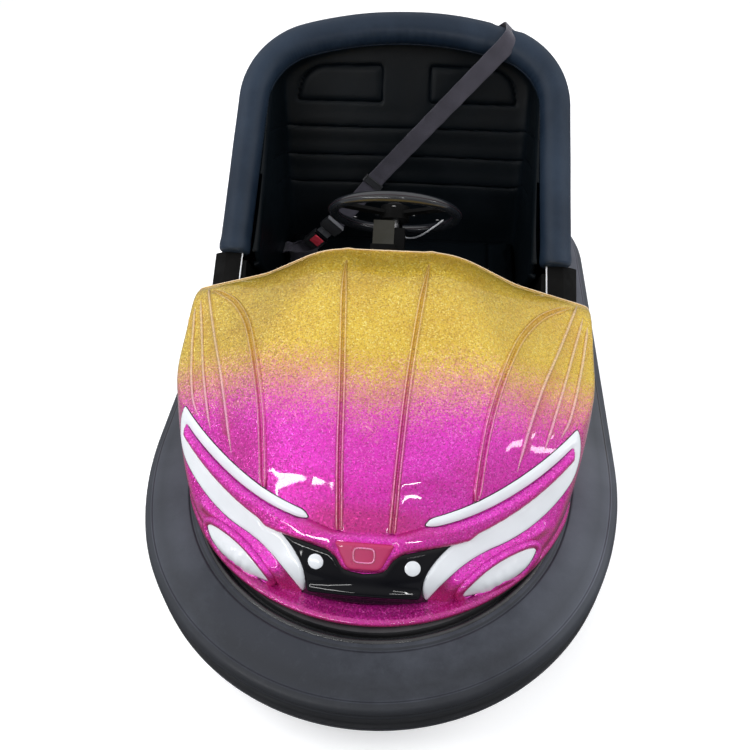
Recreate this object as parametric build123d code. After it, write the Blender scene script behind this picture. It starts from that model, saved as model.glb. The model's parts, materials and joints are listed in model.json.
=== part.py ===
from build123d import *
from functools import cache
from math import asin, atan2, cos, degrees, radians, sin, sqrt, tan
import os

# Bumper car with two seats: a rubber ring round a steel frame, a moulded body,
# an upholstered tub, a steered drive wheel in front and two free wheels behind.
# Millimetres. +Z is up, the nose points to -Y and the driver's left is +X.
# The origin is on the floor, at the middle of the car.

os.makedirs("parts", exist_ok=True)

# ---------------------------------------------------------------- driving sizes
CAR_WIDTH = 1150.0
CAR_LENGTH = 1910.0
SIDES = {"left": 1, "right": -1}

HALF = CAR_WIDTH / 2
NOSE_Y = -CAR_LENGTH / 2
TAIL_Y = CAR_LENGTH / 2

# Bumper ring, in plan: nose arc, shoulder arcs, straight sides, rear corners, back arc
RING_WIDTH = 142.0
RING_BOTTOM = 90.0
RING_TOP = 245.0
NOSE_TAPER = 13.0            # the nose arc is this much tighter than the half width
SHOULDER_RADIUS = 800.0
CORNER_RADIUS = 400.0
BACK_RADIUS = 1000.0
RING_CREASE_IN = 18.0        # from the outer face to the crease of the tread
RING_CREASE_DROP = 24.0      # the crease lies this far below the ring's top
RING_TREAD_IN = 4.0          # the tread's upper edge
RING_TREAD_DROP = 34.0
RING_FACE_DROP = 46.0        # the outer face starts this far below the ring's top
RING_BEAD_IN = 30.0          # width of the raised bead at the inner edge
RING_BEAD_DROP = 8.0

# Steel band that the ring sits on, and the body tray inside it
HOOP_WALL = 6.0
HOOP_BOTTOM = 112.0
HOOP_TOP = 226.0
TRAY_WALL = 5.0
TRAY_FLANGE = 4.0            # flange over the ring's bead that carries the body
TRAY_LAP = 12.0              # it reaches this far inside the body's wall
BODY_BASE = 250.0            # underside of the body mouldings

# Places along the car that the rest is set out from, to the whole millimetre
BONNET_REAR = round(NOSE_Y * 0.0607)
CUSHION_FRONT = round(TAIL_Y * 0.0921)
REAR_WHEEL_Y = TAIL_Y - 450.0
STEER_Y = BONNET_REAR + 156.0
DRIVE_Y = STEER_Y - 358.0

# Chassis of square tube, under the floor
RAIL = 40.0
RAIL_WALL = 3.0
RAIL_X = 200.0
RAIL_BOTTOM = 115.0
RAIL_FRONT = NOSE_Y + 395.0
RAIL_REAR = TAIL_Y - 295.0
CROSS_Y = (RAIL_FRONT + RAIL / 2, DRIVE_Y + 220.0, REAR_WHEEL_Y - 255.0, RAIL_REAR - RAIL / 2)
TIE_HOLE_R = 6.5
TIE_X = HALF - 255.0
FLOOR_SHEET = 4.0
AXLE_EAR = 28.0              # half width of a bracket of the rear axle, and its drop
AXLE_EAR_THICK = 10.0

# Wheels
WHEEL_RADIUS = 100.0
WHEEL_WIDTH = 50.0
TYRE_EDGE = 7.0
HUB_RADIUS = 66.0
HUB_SET_BACK = 5.0           # the hub's face lies this far inside the tyre's
HUB_DISH = 8.0
AXLE_RADIUS = 12.5
AXLE_FIT = 0.06
REAR_WHEEL_X = RAIL_X + 100.0
AXLE_END = 10.0              # the axle runs this far past the rear wheels
WHEEL_GAP = 12.0             # air round a wheel in its cut-out
DRIVE_WIDTH = 58.0

# Drive fork, its motor and its turntable
FORK_PLATE = 8.0
FORK_GAP = 8.0               # air between wheel and leg
FORK_LEG_Y = 34.0
FORK_TOP = 226.0
FORK_DISC_R = 84.0
BOSS_RADIUS = 38.0
SPINDLE_RADIUS = 20.0
SPINDLE_REACH = 36.0         # up into the gearbox
SPINDLE_END_GAP = 4.0
MOTOR_RADIUS = 46.0
MOTOR_LENGTH = 106.0
MOTOR_FLANGE = 12.0
MOTOR_FLANGE_RIM = 6.0
TURN_GAP = 0.3
MOUNT_BOTTOM = 232.0
MOUNT_PLATE = 10.0
MOUNT_HALF_Y = 70.0
GEARBOX_SIZE = 110.0
GEARBOX_HEIGHT = 112.0

# Housing over the drive unit
HOUSING_HALF_X = RAIL_X - 2.0
HOUSING_FRONT = DRIVE_Y - 210.0
HOUSING_REAR = DRIVE_Y + 198.0
HOUSING_TOP = 385.0
HOUSING_WALL = 5.0
HOUSING_CORNER = 30.0
HOUSING_GAP = 3.0            # round the column

# Steering wheel and column
STEER_Z = 639.0
COLUMN_FOOT = 325.6          # height at which the steering axis meets the drive's
STEER_TILT = degrees(atan2(STEER_Y - DRIVE_Y, STEER_Z - COLUMN_FOOT))
COLUMN_REACH = (STEER_Y - DRIVE_Y) / sin(radians(STEER_TILT))
STEER_DIAMETER = 330.0
STEER_RIM = 25.0
SPOKE_TURNS = (-30.0, 90.0, 210.0)
SPOKE_HALF = 14.0
SPOKE_THICK = 8.0
HUB_R = 36.0
HUB_HEIGHT = 34.0
COLUMN_SIZE = 56.0
COLUMN_START = 40.0          # from the wheel's middle, down the column
COLUMN_END_GAP = 20.0
COLLAR_RADIUS = 41.0
COLLAR_START = 150.0
COLLAR_LENGTH = 26.0
SHAFT_RADIUS = 12.0
SHAFT_REACH = 95.0

# Body mouldings
SHELL = 8.0
LIP_HEIGHT = 14.0            # ledge round the foot of the nose
BONNET_LAP = 37.0            # the tub's front end reaches this far under the bonnet
RIB_HEIGHT = 4.0             # raised ribs on the bonnet
RIB_HALF = 5.0
NOSE_PLANE_Y = NOSE_Y + 255.0    # the lamps are set out on a plane that leans back here
NOSE_PLANE_Z = 300.0
NOSE_LEAN = 45.0
LAMP_DEPTH = 160.0           # reach of a lamp's cut-out before and behind that plane
GRILLE_LAMP = (97.0, 29.0)
GRILLE_LAMP_R = 18.0
BADGE_TOP = (56.0, 86.0)
BADGE_FOOT = (31.0, 22.0)
BADGE_CORNER = 6.0

# Seat
RIM_PAD = 75.0
RIM_ROLL_IN = 11.5           # from the tub's outline to the middle of the roll
RIM_FOOT = (BONNET_REAR - 34.0, 477.0)    # front end of the tub's rim: y, z
RIM_HEAD = (TAIL_Y - 456.0, 947.0)        # top of the rim
PAD_FOOT = 124.0             # the rim's padding starts this far up the slope
SIDE_PAD_X = HALF - 221.0    # inner face of the side pads
COVER_WIDTH = 84.0           # smooth cover of the sill, in front of the pads
COVER_WALL = 6.0
COVER_GAP = 6.0              # up to the end of the pads
CUSHION_TOP = 360.0
CUSHION_THICK = 95.0
CUSHION_EDGE = 28.0
CUSHION_GAP = 6.0            # crack beside the cushion, for the belt
BACK_LEAN = 11.7             # of the seat back from the vertical
BACK_FOOT = (CUSHION_FRONT + 342.0, 372.0)   # a point on its front face: y, z
BACK_THICK = 52.0
BACK_HALF = SIDE_PAD_X - 8.0
SOFT_GAP = 0.3

# Seat base, battery and pedal
BASE_HALF = REAR_WHEEL_X + 46.0
BASE_FRONT = CUSHION_FRONT + 24.0
BASE_REAR = REAR_WHEEL_Y + 99.0
BASE_WALL = 6.0
BATTERY_HALF = 205.0
BATTERY_FRONT = BASE_REAR + 12.0
BATTERY_DEPTH = 140.0
BATTERY_HEIGHT = 180.0
PEDAL_X = -(HOUSING_HALF_X + 94.0)
PEDAL_Y = DRIVE_Y - 40.0
PEDAL_SIZE = (84.0, 150.0, 8.0)
PEDAL_TILT = 32.0
PEDAL_LIFT = 12.0
HEEL_HALF = 30.0
HEEL_DEPTH = 24.0

# Belt, from an anchor outside over the rim's roll to the passenger's right hip
WEBBING = 48.0
WEBBING_THICK = 2.4
BELT_LEAN = 41.1             # of the webbing's width below the horizontal
BELT_TURN = 78.0             # place of the belt on the corner of the rim, in degrees
BELT_RISE = 37.0             # from the roll's middle up to the webbing
BELT_AHEAD = 42.0            # from the roll's middle forward to the webbing
BELT_BEHIND = 30.0
BELT_BEND = 22.0
ANCHOR_DROP = 52.0           # from the roll's middle down to the anchor
ANCHOR_BACK = 70.0
ANCHOR_SIZE = (46.0, 70.0, 26.0)
ADJUSTER = (-87.0, 400.0, 540.0)
TONGUE = (-197.0, 300.0, 455.0)
TONGUE_SIZE = (26.0, 54.0, 12.0)
PLATE_SIZE = (34.0, 34.0, 2.4)
BUCKLE = (-246.0, 300.0, 408.0)
BUCKLE_SIZE = (56.0, 50.0, 22.0)
HIP_Y = 288.0
HIP_RISE = 14.0              # the webbing turns down this far over the cushion

RAIL_TOP = RAIL_BOTTOM + RAIL
FLOOR_TOP = RAIL_TOP + FLOOR_SHEET
SEAT_TOP = CUSHION_TOP - CUSHION_THICK
TRAY_OUT = RING_WIDTH + HOOP_WALL
TRAY_IN = TRAY_OUT + TRAY_WALL
OVER = 1500.0                # size of cutters that reach past the whole car


# ---------------------------------------------------------------- helpers
def save(shape, node):
    """Write one node as a STEP file."""
    if isinstance(shape, (list, ShapeList)):
        shape = Compound(children=list(shape))
    export_step(shape, f"parts/{node}.step")
    return shape


def block(x0, x1, y0, y1, z0, z1):
    """A box between two corners."""
    size = Box(abs(x1 - x0), abs(y1 - y0), abs(z1 - z0))
    return Pos((x0 + x1) / 2, (y0 + y1) / 2, (z0 + z1) / 2) * size


def rod(start, end, radius):
    """A round bar between two points."""
    a, b = Vector(*start), Vector(*end)
    plane = Plane(origin=a, z_dir=b - a)
    return extrude(plane * Circle(radius), (b - a).length)


def mirrored(side, shape):
    """The shape on the left, or its mirror image on the right."""
    return shape if side > 0 else mirror(shape, Plane.YZ)


def arc_about(centre, radius, start, end):
    """Arc about a centre from one angle to another, in degrees."""
    return CenterArc((centre[0], centre[1], 0), radius, start, end - start)


def heading(origin, target):
    return degrees(atan2(target[1] - origin[1], target[0] - origin[0]))


def face_of(edges):
    """Face bounded by edges that are given in order."""
    return make_face(Wire(edges).edges())


def chain(start, runs):
    """Face inside a closed chain of runs: (point passed, or None if straight; end point)."""
    edges = []
    here = start
    for way, end in runs:
        edges.append(Line(here, end) if way is None else ThreePointArc(here, way, end))
        here = end
    return face_of(edges)


# ---------------------------------------------------------------- plan outlines
def ring_plan(inset):
    """Edges of the bumper's plan, moved inwards, anticlockwise from the nose's left end."""
    nose_radius = HALF - NOSE_TAPER
    nose = (0.0, NOSE_Y + nose_radius)
    back = (0.0, TAIL_Y - BACK_RADIUS)
    reach = SHOULDER_RADIUS - HALF
    shoulder_y = nose[1] + sqrt((SHOULDER_RADIUS - nose_radius) ** 2 - reach ** 2)
    corner_x = HALF - CORNER_RADIUS
    corner_y = back[1] + sqrt((BACK_RADIUS - CORNER_RADIUS) ** 2 - corner_x ** 2)
    shoulder_turn = heading((-reach, shoulder_y), nose)
    corner_turn = heading(back, (corner_x, corner_y))
    x = HALF - inset
    edges = [arc_about(nose, nose_radius - inset, -180 - shoulder_turn, shoulder_turn)]
    edges += [arc_about((-reach, shoulder_y), SHOULDER_RADIUS - inset, shoulder_turn, 0)]
    edges += [Line((x, shoulder_y), (x, corner_y))]
    edges += [arc_about((corner_x, corner_y), CORNER_RADIUS - inset, 0, corner_turn)]
    edges += [arc_about(back, BACK_RADIUS - inset, corner_turn, 180 - corner_turn)]
    edges += [arc_about((-corner_x, corner_y), CORNER_RADIUS - inset, 180 - corner_turn, 180)]
    edges += [Line((-x, corner_y), (-x, shoulder_y))]
    edges += [arc_about((reach, shoulder_y), SHOULDER_RADIUS - inset, 180, 180 - shoulder_turn)]
    return edges


def ring_band(outer_inset, inner_inset, bottom, top):
    """Upright band between two insets of the bumper's plan."""
    band = face_of(ring_plan(outer_inset))
    if inner_inset is not None:
        band -= face_of(ring_plan(inner_inset))
    return Pos(0, 0, bottom) * extrude(band, top - bottom)


def nose_outline(nose_y, half, nose_radius, corner_radius, rear, inset):
    """D-shaped outline: nose arc, two corner arcs, straight sides and a straight rear."""
    nose = (0.0, nose_y + nose_radius)
    corner_x = half - corner_radius
    corner_y = nose[1] - sqrt((nose_radius - corner_radius) ** 2 - corner_x ** 2)
    turn = heading(nose, (corner_x, corner_y))
    x = half - inset
    return [
        arc_about(nose, nose_radius - inset, -180 - turn, turn),
        arc_about((corner_x, corner_y), corner_radius - inset, turn, 0),
        Line((x, corner_y), (x, rear)),
        Line((x, rear), (-x, rear)),
        Line((-x, rear), (-x, corner_y)),
        arc_about((-corner_x, corner_y), corner_radius - inset, 180, 180 - turn),
    ]


def arch_outline(foot, corner_x, corner_radius, crown, height, inset, foot_cut=0.0):
    """Arch outline: sides that lean in, two corner arcs and a crowned top."""
    corner_y = height - corner_radius - crown
    rise = corner_radius + crown
    top_radius = (rise ** 2 + corner_x ** 2 - corner_radius ** 2) / (2 * crown)
    top = (0.0, height - top_radius)
    turn = heading(top, (corner_x, corner_y))
    run = sqrt((corner_x - foot) ** 2 + corner_y ** 2)
    lean = atan2(corner_y, corner_x - foot) - asin(corner_radius / run)
    normal = degrees(lean) - 90
    radius = corner_radius - inset
    x_touch = corner_x + radius * cos(radians(normal))
    y_touch = corner_y + radius * sin(radians(normal))
    x_foot = x_touch - (y_touch - foot_cut) / tan(lean)
    return [
        Line((x_foot, foot_cut), (x_touch, y_touch)),
        arc_about((corner_x, corner_y), radius, normal, turn),
        arc_about(top, top_radius - inset, turn, 180 - turn),
        arc_about((-corner_x, corner_y), radius, 180 - turn, 180 - normal),
        Line((-x_touch, y_touch), (-x_foot, foot_cut)),
        Line((-x_foot, foot_cut), (x_foot, foot_cut)),
    ]


def tilted_plane(foot, head, lift=0.0):
    """Plane through two (y, z) points, across the car; its +Y runs up the slope."""
    slope = atan2(head[1] - foot[1], head[0] - foot[0])
    normal = Vector(0, -sin(slope), cos(slope))
    origin = Vector(0, foot[0], foot[1]) + normal * lift
    return Plane(origin=origin, x_dir=(1, 0, 0), z_dir=normal)


# ---------------------------------------------------------------- bumper ring
def ring_section():
    """Section of the ring, (inset, z): its upper half, mirrored about the middle height."""
    middle = (RING_BOTTOM + RING_TOP) / 2
    upper = [
        (0.0, RING_TOP - RING_FACE_DROP),
        (RING_TREAD_IN, RING_TOP - RING_TREAD_DROP),
        (RING_CREASE_IN, RING_TOP - RING_CREASE_DROP),
        (RING_WIDTH - RING_BEAD_IN, RING_TOP),
        (RING_WIDTH - RING_BEAD_DROP, RING_TOP),
        (RING_WIDTH, RING_TOP - RING_BEAD_DROP),
    ]
    lower = [(inset, 2 * middle - z) for inset, z in reversed(upper)]
    return upper + lower


def bumper_ring():
    """Solid rubber ring swept round the car."""
    corner_x = HALF - CORNER_RADIUS
    path = Wire(ring_plan(0.0))
    section = Polyline([(HALF - inset, 0.0, z) for inset, z in ring_section()], close=True)
    start_y = TAIL_Y - BACK_RADIUS
    start_y += sqrt((BACK_RADIUS - CORNER_RADIUS) ** 2 - corner_x ** 2)
    profile = Pos(0, start_y, 0) * make_face(section.edges())
    return sweep(profile, path=path)


# ---------------------------------------------------------------- body mouldings
# Plan outlines of the front moulding's face: height, nose y, half width,
# nose radius over the half width, corner radius
FACE = (
    (BODY_BASE, NOSE_Y + 210.0, HALF - 123.0, 188.0, 350.0),
    (360.0, NOSE_Y + 233.0, HALF - 113.0, 98.0, 325.0),
    (445.0, NOSE_Y + 315.0, HALF - 92.0, 51.0, 262.0),
    (560.0, NOSE_Y + 395.0, HALF - 90.0, 46.0, 250.0),
    (700.0, NOSE_Y + 475.0, HALF - 89.0, 44.0, 250.0),
)
LIP = (NOSE_Y + 158.0, HALF - 127.0, 22.0, 250.0)    # plan of the ledge, as in FACE
# Sections of the bonnet: y as a share of the nose's, height in the middle,
# x and radius of the bend, x and height of the knee in the shoulder, edge x and height
BONNET = (
    (BONNET_REAR / NOSE_Y, 640.0, 150.0, 220.0, 300.0, 556.0, HALF - 75.0, 492.0),
    (0.157, 659.0, 160.0, 250.0, 305.0, 580.0, HALF - 75.0, 488.0),
    (0.338, 640.0, 185.0, 300.0, 320.0, 550.0, HALF - 75.0, 441.0),
    (0.471, 589.0, 190.0, 350.0, 330.0, 487.0, HALF - 105.0, 390.0),
    (0.606, 509.0, 165.0, 300.0, 300.0, 388.0, HALF - 145.0, 275.0),
    (0.702, 412.0, 120.0, 270.0, 260.0, 323.0, HALF - 175.0, 240.0),
    (0.827, 285.0, 90.0, 240.0, 225.0, 215.0, HALF - 215.0, 150.0),
)
BONNET_FOOT = 20.0

# Ribs of one half of the bonnet, in plan: front end, a point passed, rear end
RIBS = (
    ((54.0, NOSE_Y + 297.0), None, (99.0, BONNET_REAR)),
    ((222.0, NOSE_Y + 352.0), (275.0, NOSE_Y + 605.0), (430.0, BONNET_REAR - 45.0)),
)

# Outlines of the lamps and the grille on the nose plane, for the left half: x and the way up
STRIP_START = (115.0, 115.0)
STRIP = (
    (None, (127.0, 130.0)),
    ((290.0, 203.0), (433.0, 315.0)),
    ((443.0, 262.0), (421.0, 196.0)),
    ((346.0, 115.0), (263.0, 70.0)),
    ((187.0, 26.0), (128.0, -50.0)),
    ((119.0, -16.0), (126.0, 19.0)),
    ((145.0, 49.0), (174.0, 79.0)),
    (None, (210.0, 85.0)),
    (None, (222.0, 100.0)),
    ((325.0, 158.0), (425.0, 250.0)),
    (None, (424.0, 277.0)),
    ((290.0, 175.0), (137.0, 114.0)),
    (None, STRIP_START),
)
FOG_START = (355.0, 69.0)
FOG = (
    ((282.0, 47.0), (197.0, -27.0)),
    (None, (188.0, -80.0)),
    (None, (290.0, -80.0)),
    (None, (303.0, -4.0)),
    ((334.0, 28.0), FOG_START),
)
GRILLE_START = (-38.0, 14.0)
GRILLE = (
    (None, (38.0, 14.0)),
    (None, (66.0, 51.0)),
    (None, (174.0, 79.0)),
    ((145.0, 49.0), (126.0, 19.0)),
    ((119.0, -16.0), (128.0, -50.0)),
    (None, (132.0, -80.0)),
    (None, (-132.0, -80.0)),
    (None, (-128.0, -50.0)),
    ((-119.0, -16.0), (-126.0, 19.0)),
    ((-145.0, 49.0), (-174.0, 79.0)),
    (None, (-66.0, 51.0)),
    (None, GRILLE_START),
)

# Sections of the tub: front (y, z), rear (y, z), half width, bend from the side,
# bend radius, crown
TUB = (
    ((BONNET_REAR - BONNET_LAP, BODY_BASE), (TAIL_Y - 155.0, BODY_BASE), HALF - 137.0, 248.0, 250.0, 20.0),
    ((BONNET_REAR - BONNET_LAP, 400.0), (TAIL_Y - 153.0, 470.0), HALF - 123.0, 252.0, 252.0, 22.0),
    ((BONNET_REAR - 35.0, 446.0), (TAIL_Y - 255.0, 700.0), HALF - 124.0, 247.0, 240.0, 26.0),
    (RIM_FOOT, RIM_HEAD, HALF - 158.0, 212.0, 189.0, 31.0),
)


def face_plan(nose_y, half, over_half, corner_radius, inset):
    """Face inside one plan outline of the front moulding."""
    return face_of(nose_outline(nose_y, half, half + over_half, corner_radius, 0.0, inset))


def face_block(inset, bottom):
    """Solid under the face's plan outlines."""
    sections = [Pos(0, 0, row[0]) * face_plan(*row[1:], inset) for row in FACE]
    solid = loft(sections)
    if bottom < BODY_BASE:
        solid += Pos(0, 0, bottom - BODY_BASE) * extrude(sections[0], BODY_BASE - bottom)
    return solid


def bonnet_block(inset, rear):
    """Solid under the bonnet's sections."""
    sections = []
    for share, middle, bend, radius, knee_x, knee_z, edge_x, edge_z in BONNET:
        y = rear if share * NOSE_Y == BONNET_REAR else share * NOSE_Y
        edge = (edge_x, edge_z - inset)
        top = FilletPolyline(
            (-edge[0], edge[1]), (-knee_x, knee_z - inset), (-bend, middle - inset),
            (bend, middle - inset), (knee_x, knee_z - inset), edge, radius=radius,
        )
        base = Polyline(edge, (edge_x, BONNET_FOOT), (-edge_x, BONNET_FOOT), (-edge[0], edge[1]))
        plane = Plane(origin=(0, y, 0), x_dir=(1, 0, 0), z_dir=(0, -1, 0))
        sections.append(plane * make_face(top.edges() + base.edges()))
    return loft(sections)


def front_form(inset, bottom=BODY_BASE, rear=BONNET_REAR):
    """The front moulding's outer form, or its inside when moved inwards."""
    return face_block(inset, bottom) & bonnet_block(inset, rear)


def rib_prism(front, way, rear):
    """Upright band over one rib's line in plan."""
    line = Line(front, rear) if way is None else ThreePointArc(front, way, rear)
    sections = Plane(origin=line @ 0, z_dir=line % 0) * Rectangle(2 * RIB_HALF, OVER)
    return sweep(sections, path=line)


def nose_prism(face):
    """Cutter through the nose from an outline on the nose plane."""
    lean = radians(NOSE_LEAN)
    plane = Plane(origin=(0, NOSE_PLANE_Y, NOSE_PLANE_Z), x_dir=(1, 0, 0), z_dir=(0, -sin(lean), cos(lean)))
    return extrude(plane * face, LAMP_DEPTH, both=True)


def badge_face():
    corners = [BADGE_TOP, BADGE_FOOT, (-BADGE_FOOT[0], BADGE_FOOT[1]), (-BADGE_TOP[0], BADGE_TOP[1])]
    plate = make_face(Polyline(*corners, close=True).edges())
    return fillet(plate.vertices(), BADGE_CORNER)


def front_mouldings():
    """The front moulding with its ribs and ledge, and what is let into its nose."""
    inside = front_form(SHELL, BODY_BASE - LIP_HEIGHT, BONNET_REAR + LIP_HEIGHT)
    outside = front_form(0.0)
    ribbed = front_form(-RIB_HEIGHT)
    for rib in RIBS:
        prism = rib_prism(*rib)
        for side in SIDES.values():
            outside += ribbed & mirrored(side, prism)
    shell = outside - inside
    ledge_top = BODY_BASE + LIP_HEIGHT
    nose = shell & block(-OVER, OVER, -OVER, OVER, ledge_top, OVER)
    foot = shell & block(-OVER, OVER, -OVER, OVER, 0, ledge_top)
    ledge = Pos(0, 0, BODY_BASE) * extrude(face_plan(*LIP, 0.0), LIP_HEIGHT) - inside
    foot += ledge & block(-HALF, HALF, NOSE_Y, BONNET_REAR - BONNET_LAP - SHELL, 0, ledge_top)
    pieces = {}
    prisms = {
        "light_strips": [mirrored(side, nose_prism(chain(STRIP_START, STRIP))) for side in SIDES.values()],
        "fog_lamps": [mirrored(side, nose_prism(chain(FOG_START, FOG))) for side in SIDES.values()],
        "grille_panel": [nose_prism(chain(GRILLE_START, GRILLE))],
        "badge_plate": [nose_prism(badge_face())],
    }
    for node, cutters in prisms.items():
        pieces[node] = [nose & cutter for cutter in cutters]
        for cutter in cutters:
            nose -= cutter
    pieces["grille_lamps"] = []
    for side in SIDES.values():
        lamp = nose_prism(Pos(side * GRILLE_LAMP[0], GRILLE_LAMP[1]) * Circle(GRILLE_LAMP_R))
        pieces["grille_lamps"].append(pieces["grille_panel"][0] & lamp)
        pieces["grille_panel"][0] -= lamp
    pieces["front_body"] = [nose + foot]
    return pieces


def tub_form(inset, raise_top=0.0, front=0.0):
    """The tub's outer form, or its inside when moved inwards."""
    sections = []
    for foot, head, half, bend_in, radius, crown in TUB:
        plane = tilted_plane(foot, head)
        height = sqrt((head[0] - foot[0]) ** 2 + (head[1] - foot[1]) ** 2)
        edges = arch_outline(half, half - bend_in, radius, crown, height, inset, -front)
        sections.append(plane * face_of(edges))
    solid = loft(sections)
    if raise_top:
        solid += extrude(sections[0], -raise_top) + extrude(sections[-1], raise_top)
    return solid


def bumper_hoop():
    """Steel band inside the ring."""
    return ring_band(RING_WIDTH, TRAY_OUT, HOOP_BOTTOM, HOOP_TOP)


def body_base_face(inset):
    """Plan of both mouldings' undersides."""
    foot, head, half, bend_in, radius, crown = TUB[0]
    outline = arch_outline(half, half - bend_in, radius, crown, head[0] - foot[0], inset)
    return face_plan(*LIP, inset) + Pos(0, foot[0], 0) * face_of(outline)


def body_tray():
    """Wall round the floor, with a flange that lies over the ring's bead and carries the body."""
    wall = ring_band(TRAY_OUT, TRAY_IN, RAIL_TOP, BODY_BASE)
    inside = face_of(ring_plan(TRAY_IN))
    opening = inside & body_base_face(SHELL + TRAY_LAP)
    flange = (body_base_face(1.0) + face_of(ring_plan(TRAY_OUT))) - opening
    return wall + Pos(0, 0, BODY_BASE - TRAY_FLANGE) * extrude(flange, TRAY_FLANGE)


def floor_pan():
    """Floor sheet with cut-outs for the wheels."""
    sheet = Pos(0, 0, RAIL_TOP) * extrude(face_of(ring_plan(TRAY_IN)), FLOOR_SHEET)
    rise = RAIL_TOP - WHEEL_RADIUS
    half_y = sqrt(WHEEL_RADIUS ** 2 - rise ** 2) + WHEEL_GAP
    half_x = WHEEL_WIDTH / 2 + WHEEL_GAP
    for side in SIDES.values():
        x = side * REAR_WHEEL_X
        sheet -= block(x - half_x, x + half_x, REAR_WHEEL_Y - half_y, REAR_WHEEL_Y + half_y, 0, OVER)
    return sheet - Pos(0, DRIVE_Y, 0) * Cylinder(FORK_DISC_R + WHEEL_GAP, OVER)


def square_tube(x0, x1, y0, y1, along):
    """Square tube of the chassis, hollow along one axis."""
    outer = block(x0, x1, y0, y1, RAIL_BOTTOM, RAIL_TOP)
    w = RAIL_WALL
    if along == "x":
        return outer - block(x0 - 1, x1 + 1, y0 + w, y1 - w, RAIL_BOTTOM + w, RAIL_TOP - w)
    return outer - block(x0 + w, x1 - w, y0 - 1, y1 + 1, RAIL_BOTTOM + w, RAIL_TOP - w)


def chassis_frame():
    """Two rails, four cross members out to the hoop, and the rear axle's brackets."""
    frame = None
    reach = ring_band(TRAY_OUT, None, RAIL_BOTTOM, RAIL_TOP)
    inner, outer = RAIL_X - RAIL / 2, RAIL_X + RAIL / 2
    for side in SIDES.values():
        rail = square_tube(side * RAIL_X - RAIL / 2, side * RAIL_X + RAIL / 2, RAIL_FRONT, RAIL_REAR, "y")
        frame = rail if frame is None else frame + rail
    for y in CROSS_Y:
        y0, y1 = y - RAIL / 2, y + RAIL / 2
        frame += square_tube(-inner, inner, y0, y1, "x")
        for side in SIDES.values():
            frame += square_tube(*sorted((side * outer, side * HALF)), y0, y1, "x") & reach
    y0, y1 = REAR_WHEEL_Y - AXLE_EAR, REAR_WHEEL_Y + AXLE_EAR
    for side in SIDES.values():
        x0, x1 = side * RAIL_X - AXLE_EAR_THICK / 2, side * RAIL_X + AXLE_EAR_THICK / 2
        frame += block(x0, x1, y0, y1, WHEEL_RADIUS - AXLE_EAR, RAIL_BOTTOM)
    frame -= rod((-HALF, REAR_WHEEL_Y, WHEEL_RADIUS), (HALF, REAR_WHEEL_Y, WHEEL_RADIUS), AXLE_RADIUS)
    for y in (CROSS_Y[0], CROSS_Y[-1]):
        for side in SIDES.values():
            frame -= Pos(side * TIE_X, y, RAIL_TOP) * Cylinder(TIE_HOLE_R, 2 * RAIL_TOP)
    return frame


def wheel(x, y, width):
    """Tyre and hub of one wheel, upright, on an axle along X."""
    centre = Pos(x, y, WHEEL_RADIUS) * Rot(0, 90, 0)
    tyre = Cylinder(WHEEL_RADIUS, width) - Cylinder(HUB_RADIUS, 2 * width)
    tyre = fillet(tyre.edges().filter_by(GeomType.CIRCLE).group_by(SortBy.RADIUS)[-1], TYRE_EDGE)
    hub_width = width - 2 * HUB_SET_BACK
    hub = Cylinder(HUB_RADIUS, hub_width) - Cylinder(AXLE_RADIUS + AXLE_FIT, 2 * width)
    dish = Cylinder(HUB_RADIUS - HUB_DISH, HUB_DISH) - Cylinder(AXLE_RADIUS + HUB_DISH, 2 * HUB_DISH)
    for side in SIDES.values():
        hub -= Pos(0, 0, side * (hub_width - HUB_DISH) / 2) * dish
    return centre * tyre, centre * hub


def drive_fork():
    """Inverted fork with its turntable disc, boss and spindle."""
    inner = DRIVE_WIDTH / 2 + FORK_GAP
    fork = Pos(0, DRIVE_Y, FORK_TOP - FORK_PLATE / 2) * Cylinder(FORK_DISC_R, FORK_PLATE)
    for side in SIDES.values():
        x0, x1 = sorted((side * inner, side * (inner + FORK_PLATE)))
        y0, y1 = DRIVE_Y - FORK_LEG_Y, DRIVE_Y + FORK_LEG_Y
        fork += block(x0, x1, y0, y1, WHEEL_RADIUS, FORK_TOP - FORK_PLATE)
        fork += rod((x0, DRIVE_Y, WHEEL_RADIUS), (x1, DRIVE_Y, WHEEL_RADIUS), FORK_LEG_Y)
    boss_height = MOUNT_BOTTOM - TURN_GAP - FORK_TOP
    fork += Pos(0, DRIVE_Y, FORK_TOP + boss_height / 2) * Cylinder(BOSS_RADIUS, boss_height)
    top = MOUNT_BOTTOM + MOUNT_PLATE + SPINDLE_REACH
    fork += rod((0, DRIVE_Y, FORK_TOP), (0, DRIVE_Y, top), SPINDLE_RADIUS)
    ends = inner + FORK_PLATE
    return fork - rod((-ends, DRIVE_Y, WHEEL_RADIUS), (ends, DRIVE_Y, WHEEL_RADIUS), AXLE_RADIUS)


def drive_axle():
    inner = DRIVE_WIDTH / 2 + FORK_GAP + FORK_PLATE
    return rod((-inner - FORK_PLATE, DRIVE_Y, WHEEL_RADIUS), (inner, DRIVE_Y, WHEEL_RADIUS), AXLE_RADIUS)


def drive_motor():
    """Geared motor on the fork's left leg."""
    inner = DRIVE_WIDTH / 2 + FORK_GAP + FORK_PLATE
    start = (inner, DRIVE_Y, WHEEL_RADIUS)
    joint = (inner + MOTOR_FLANGE, DRIVE_Y, WHEEL_RADIUS)
    end = (inner + MOTOR_LENGTH, DRIVE_Y, WHEEL_RADIUS)
    return rod(start, joint, MOTOR_RADIUS + MOTOR_FLANGE_RIM) + rod(joint, end, MOTOR_RADIUS)


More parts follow.
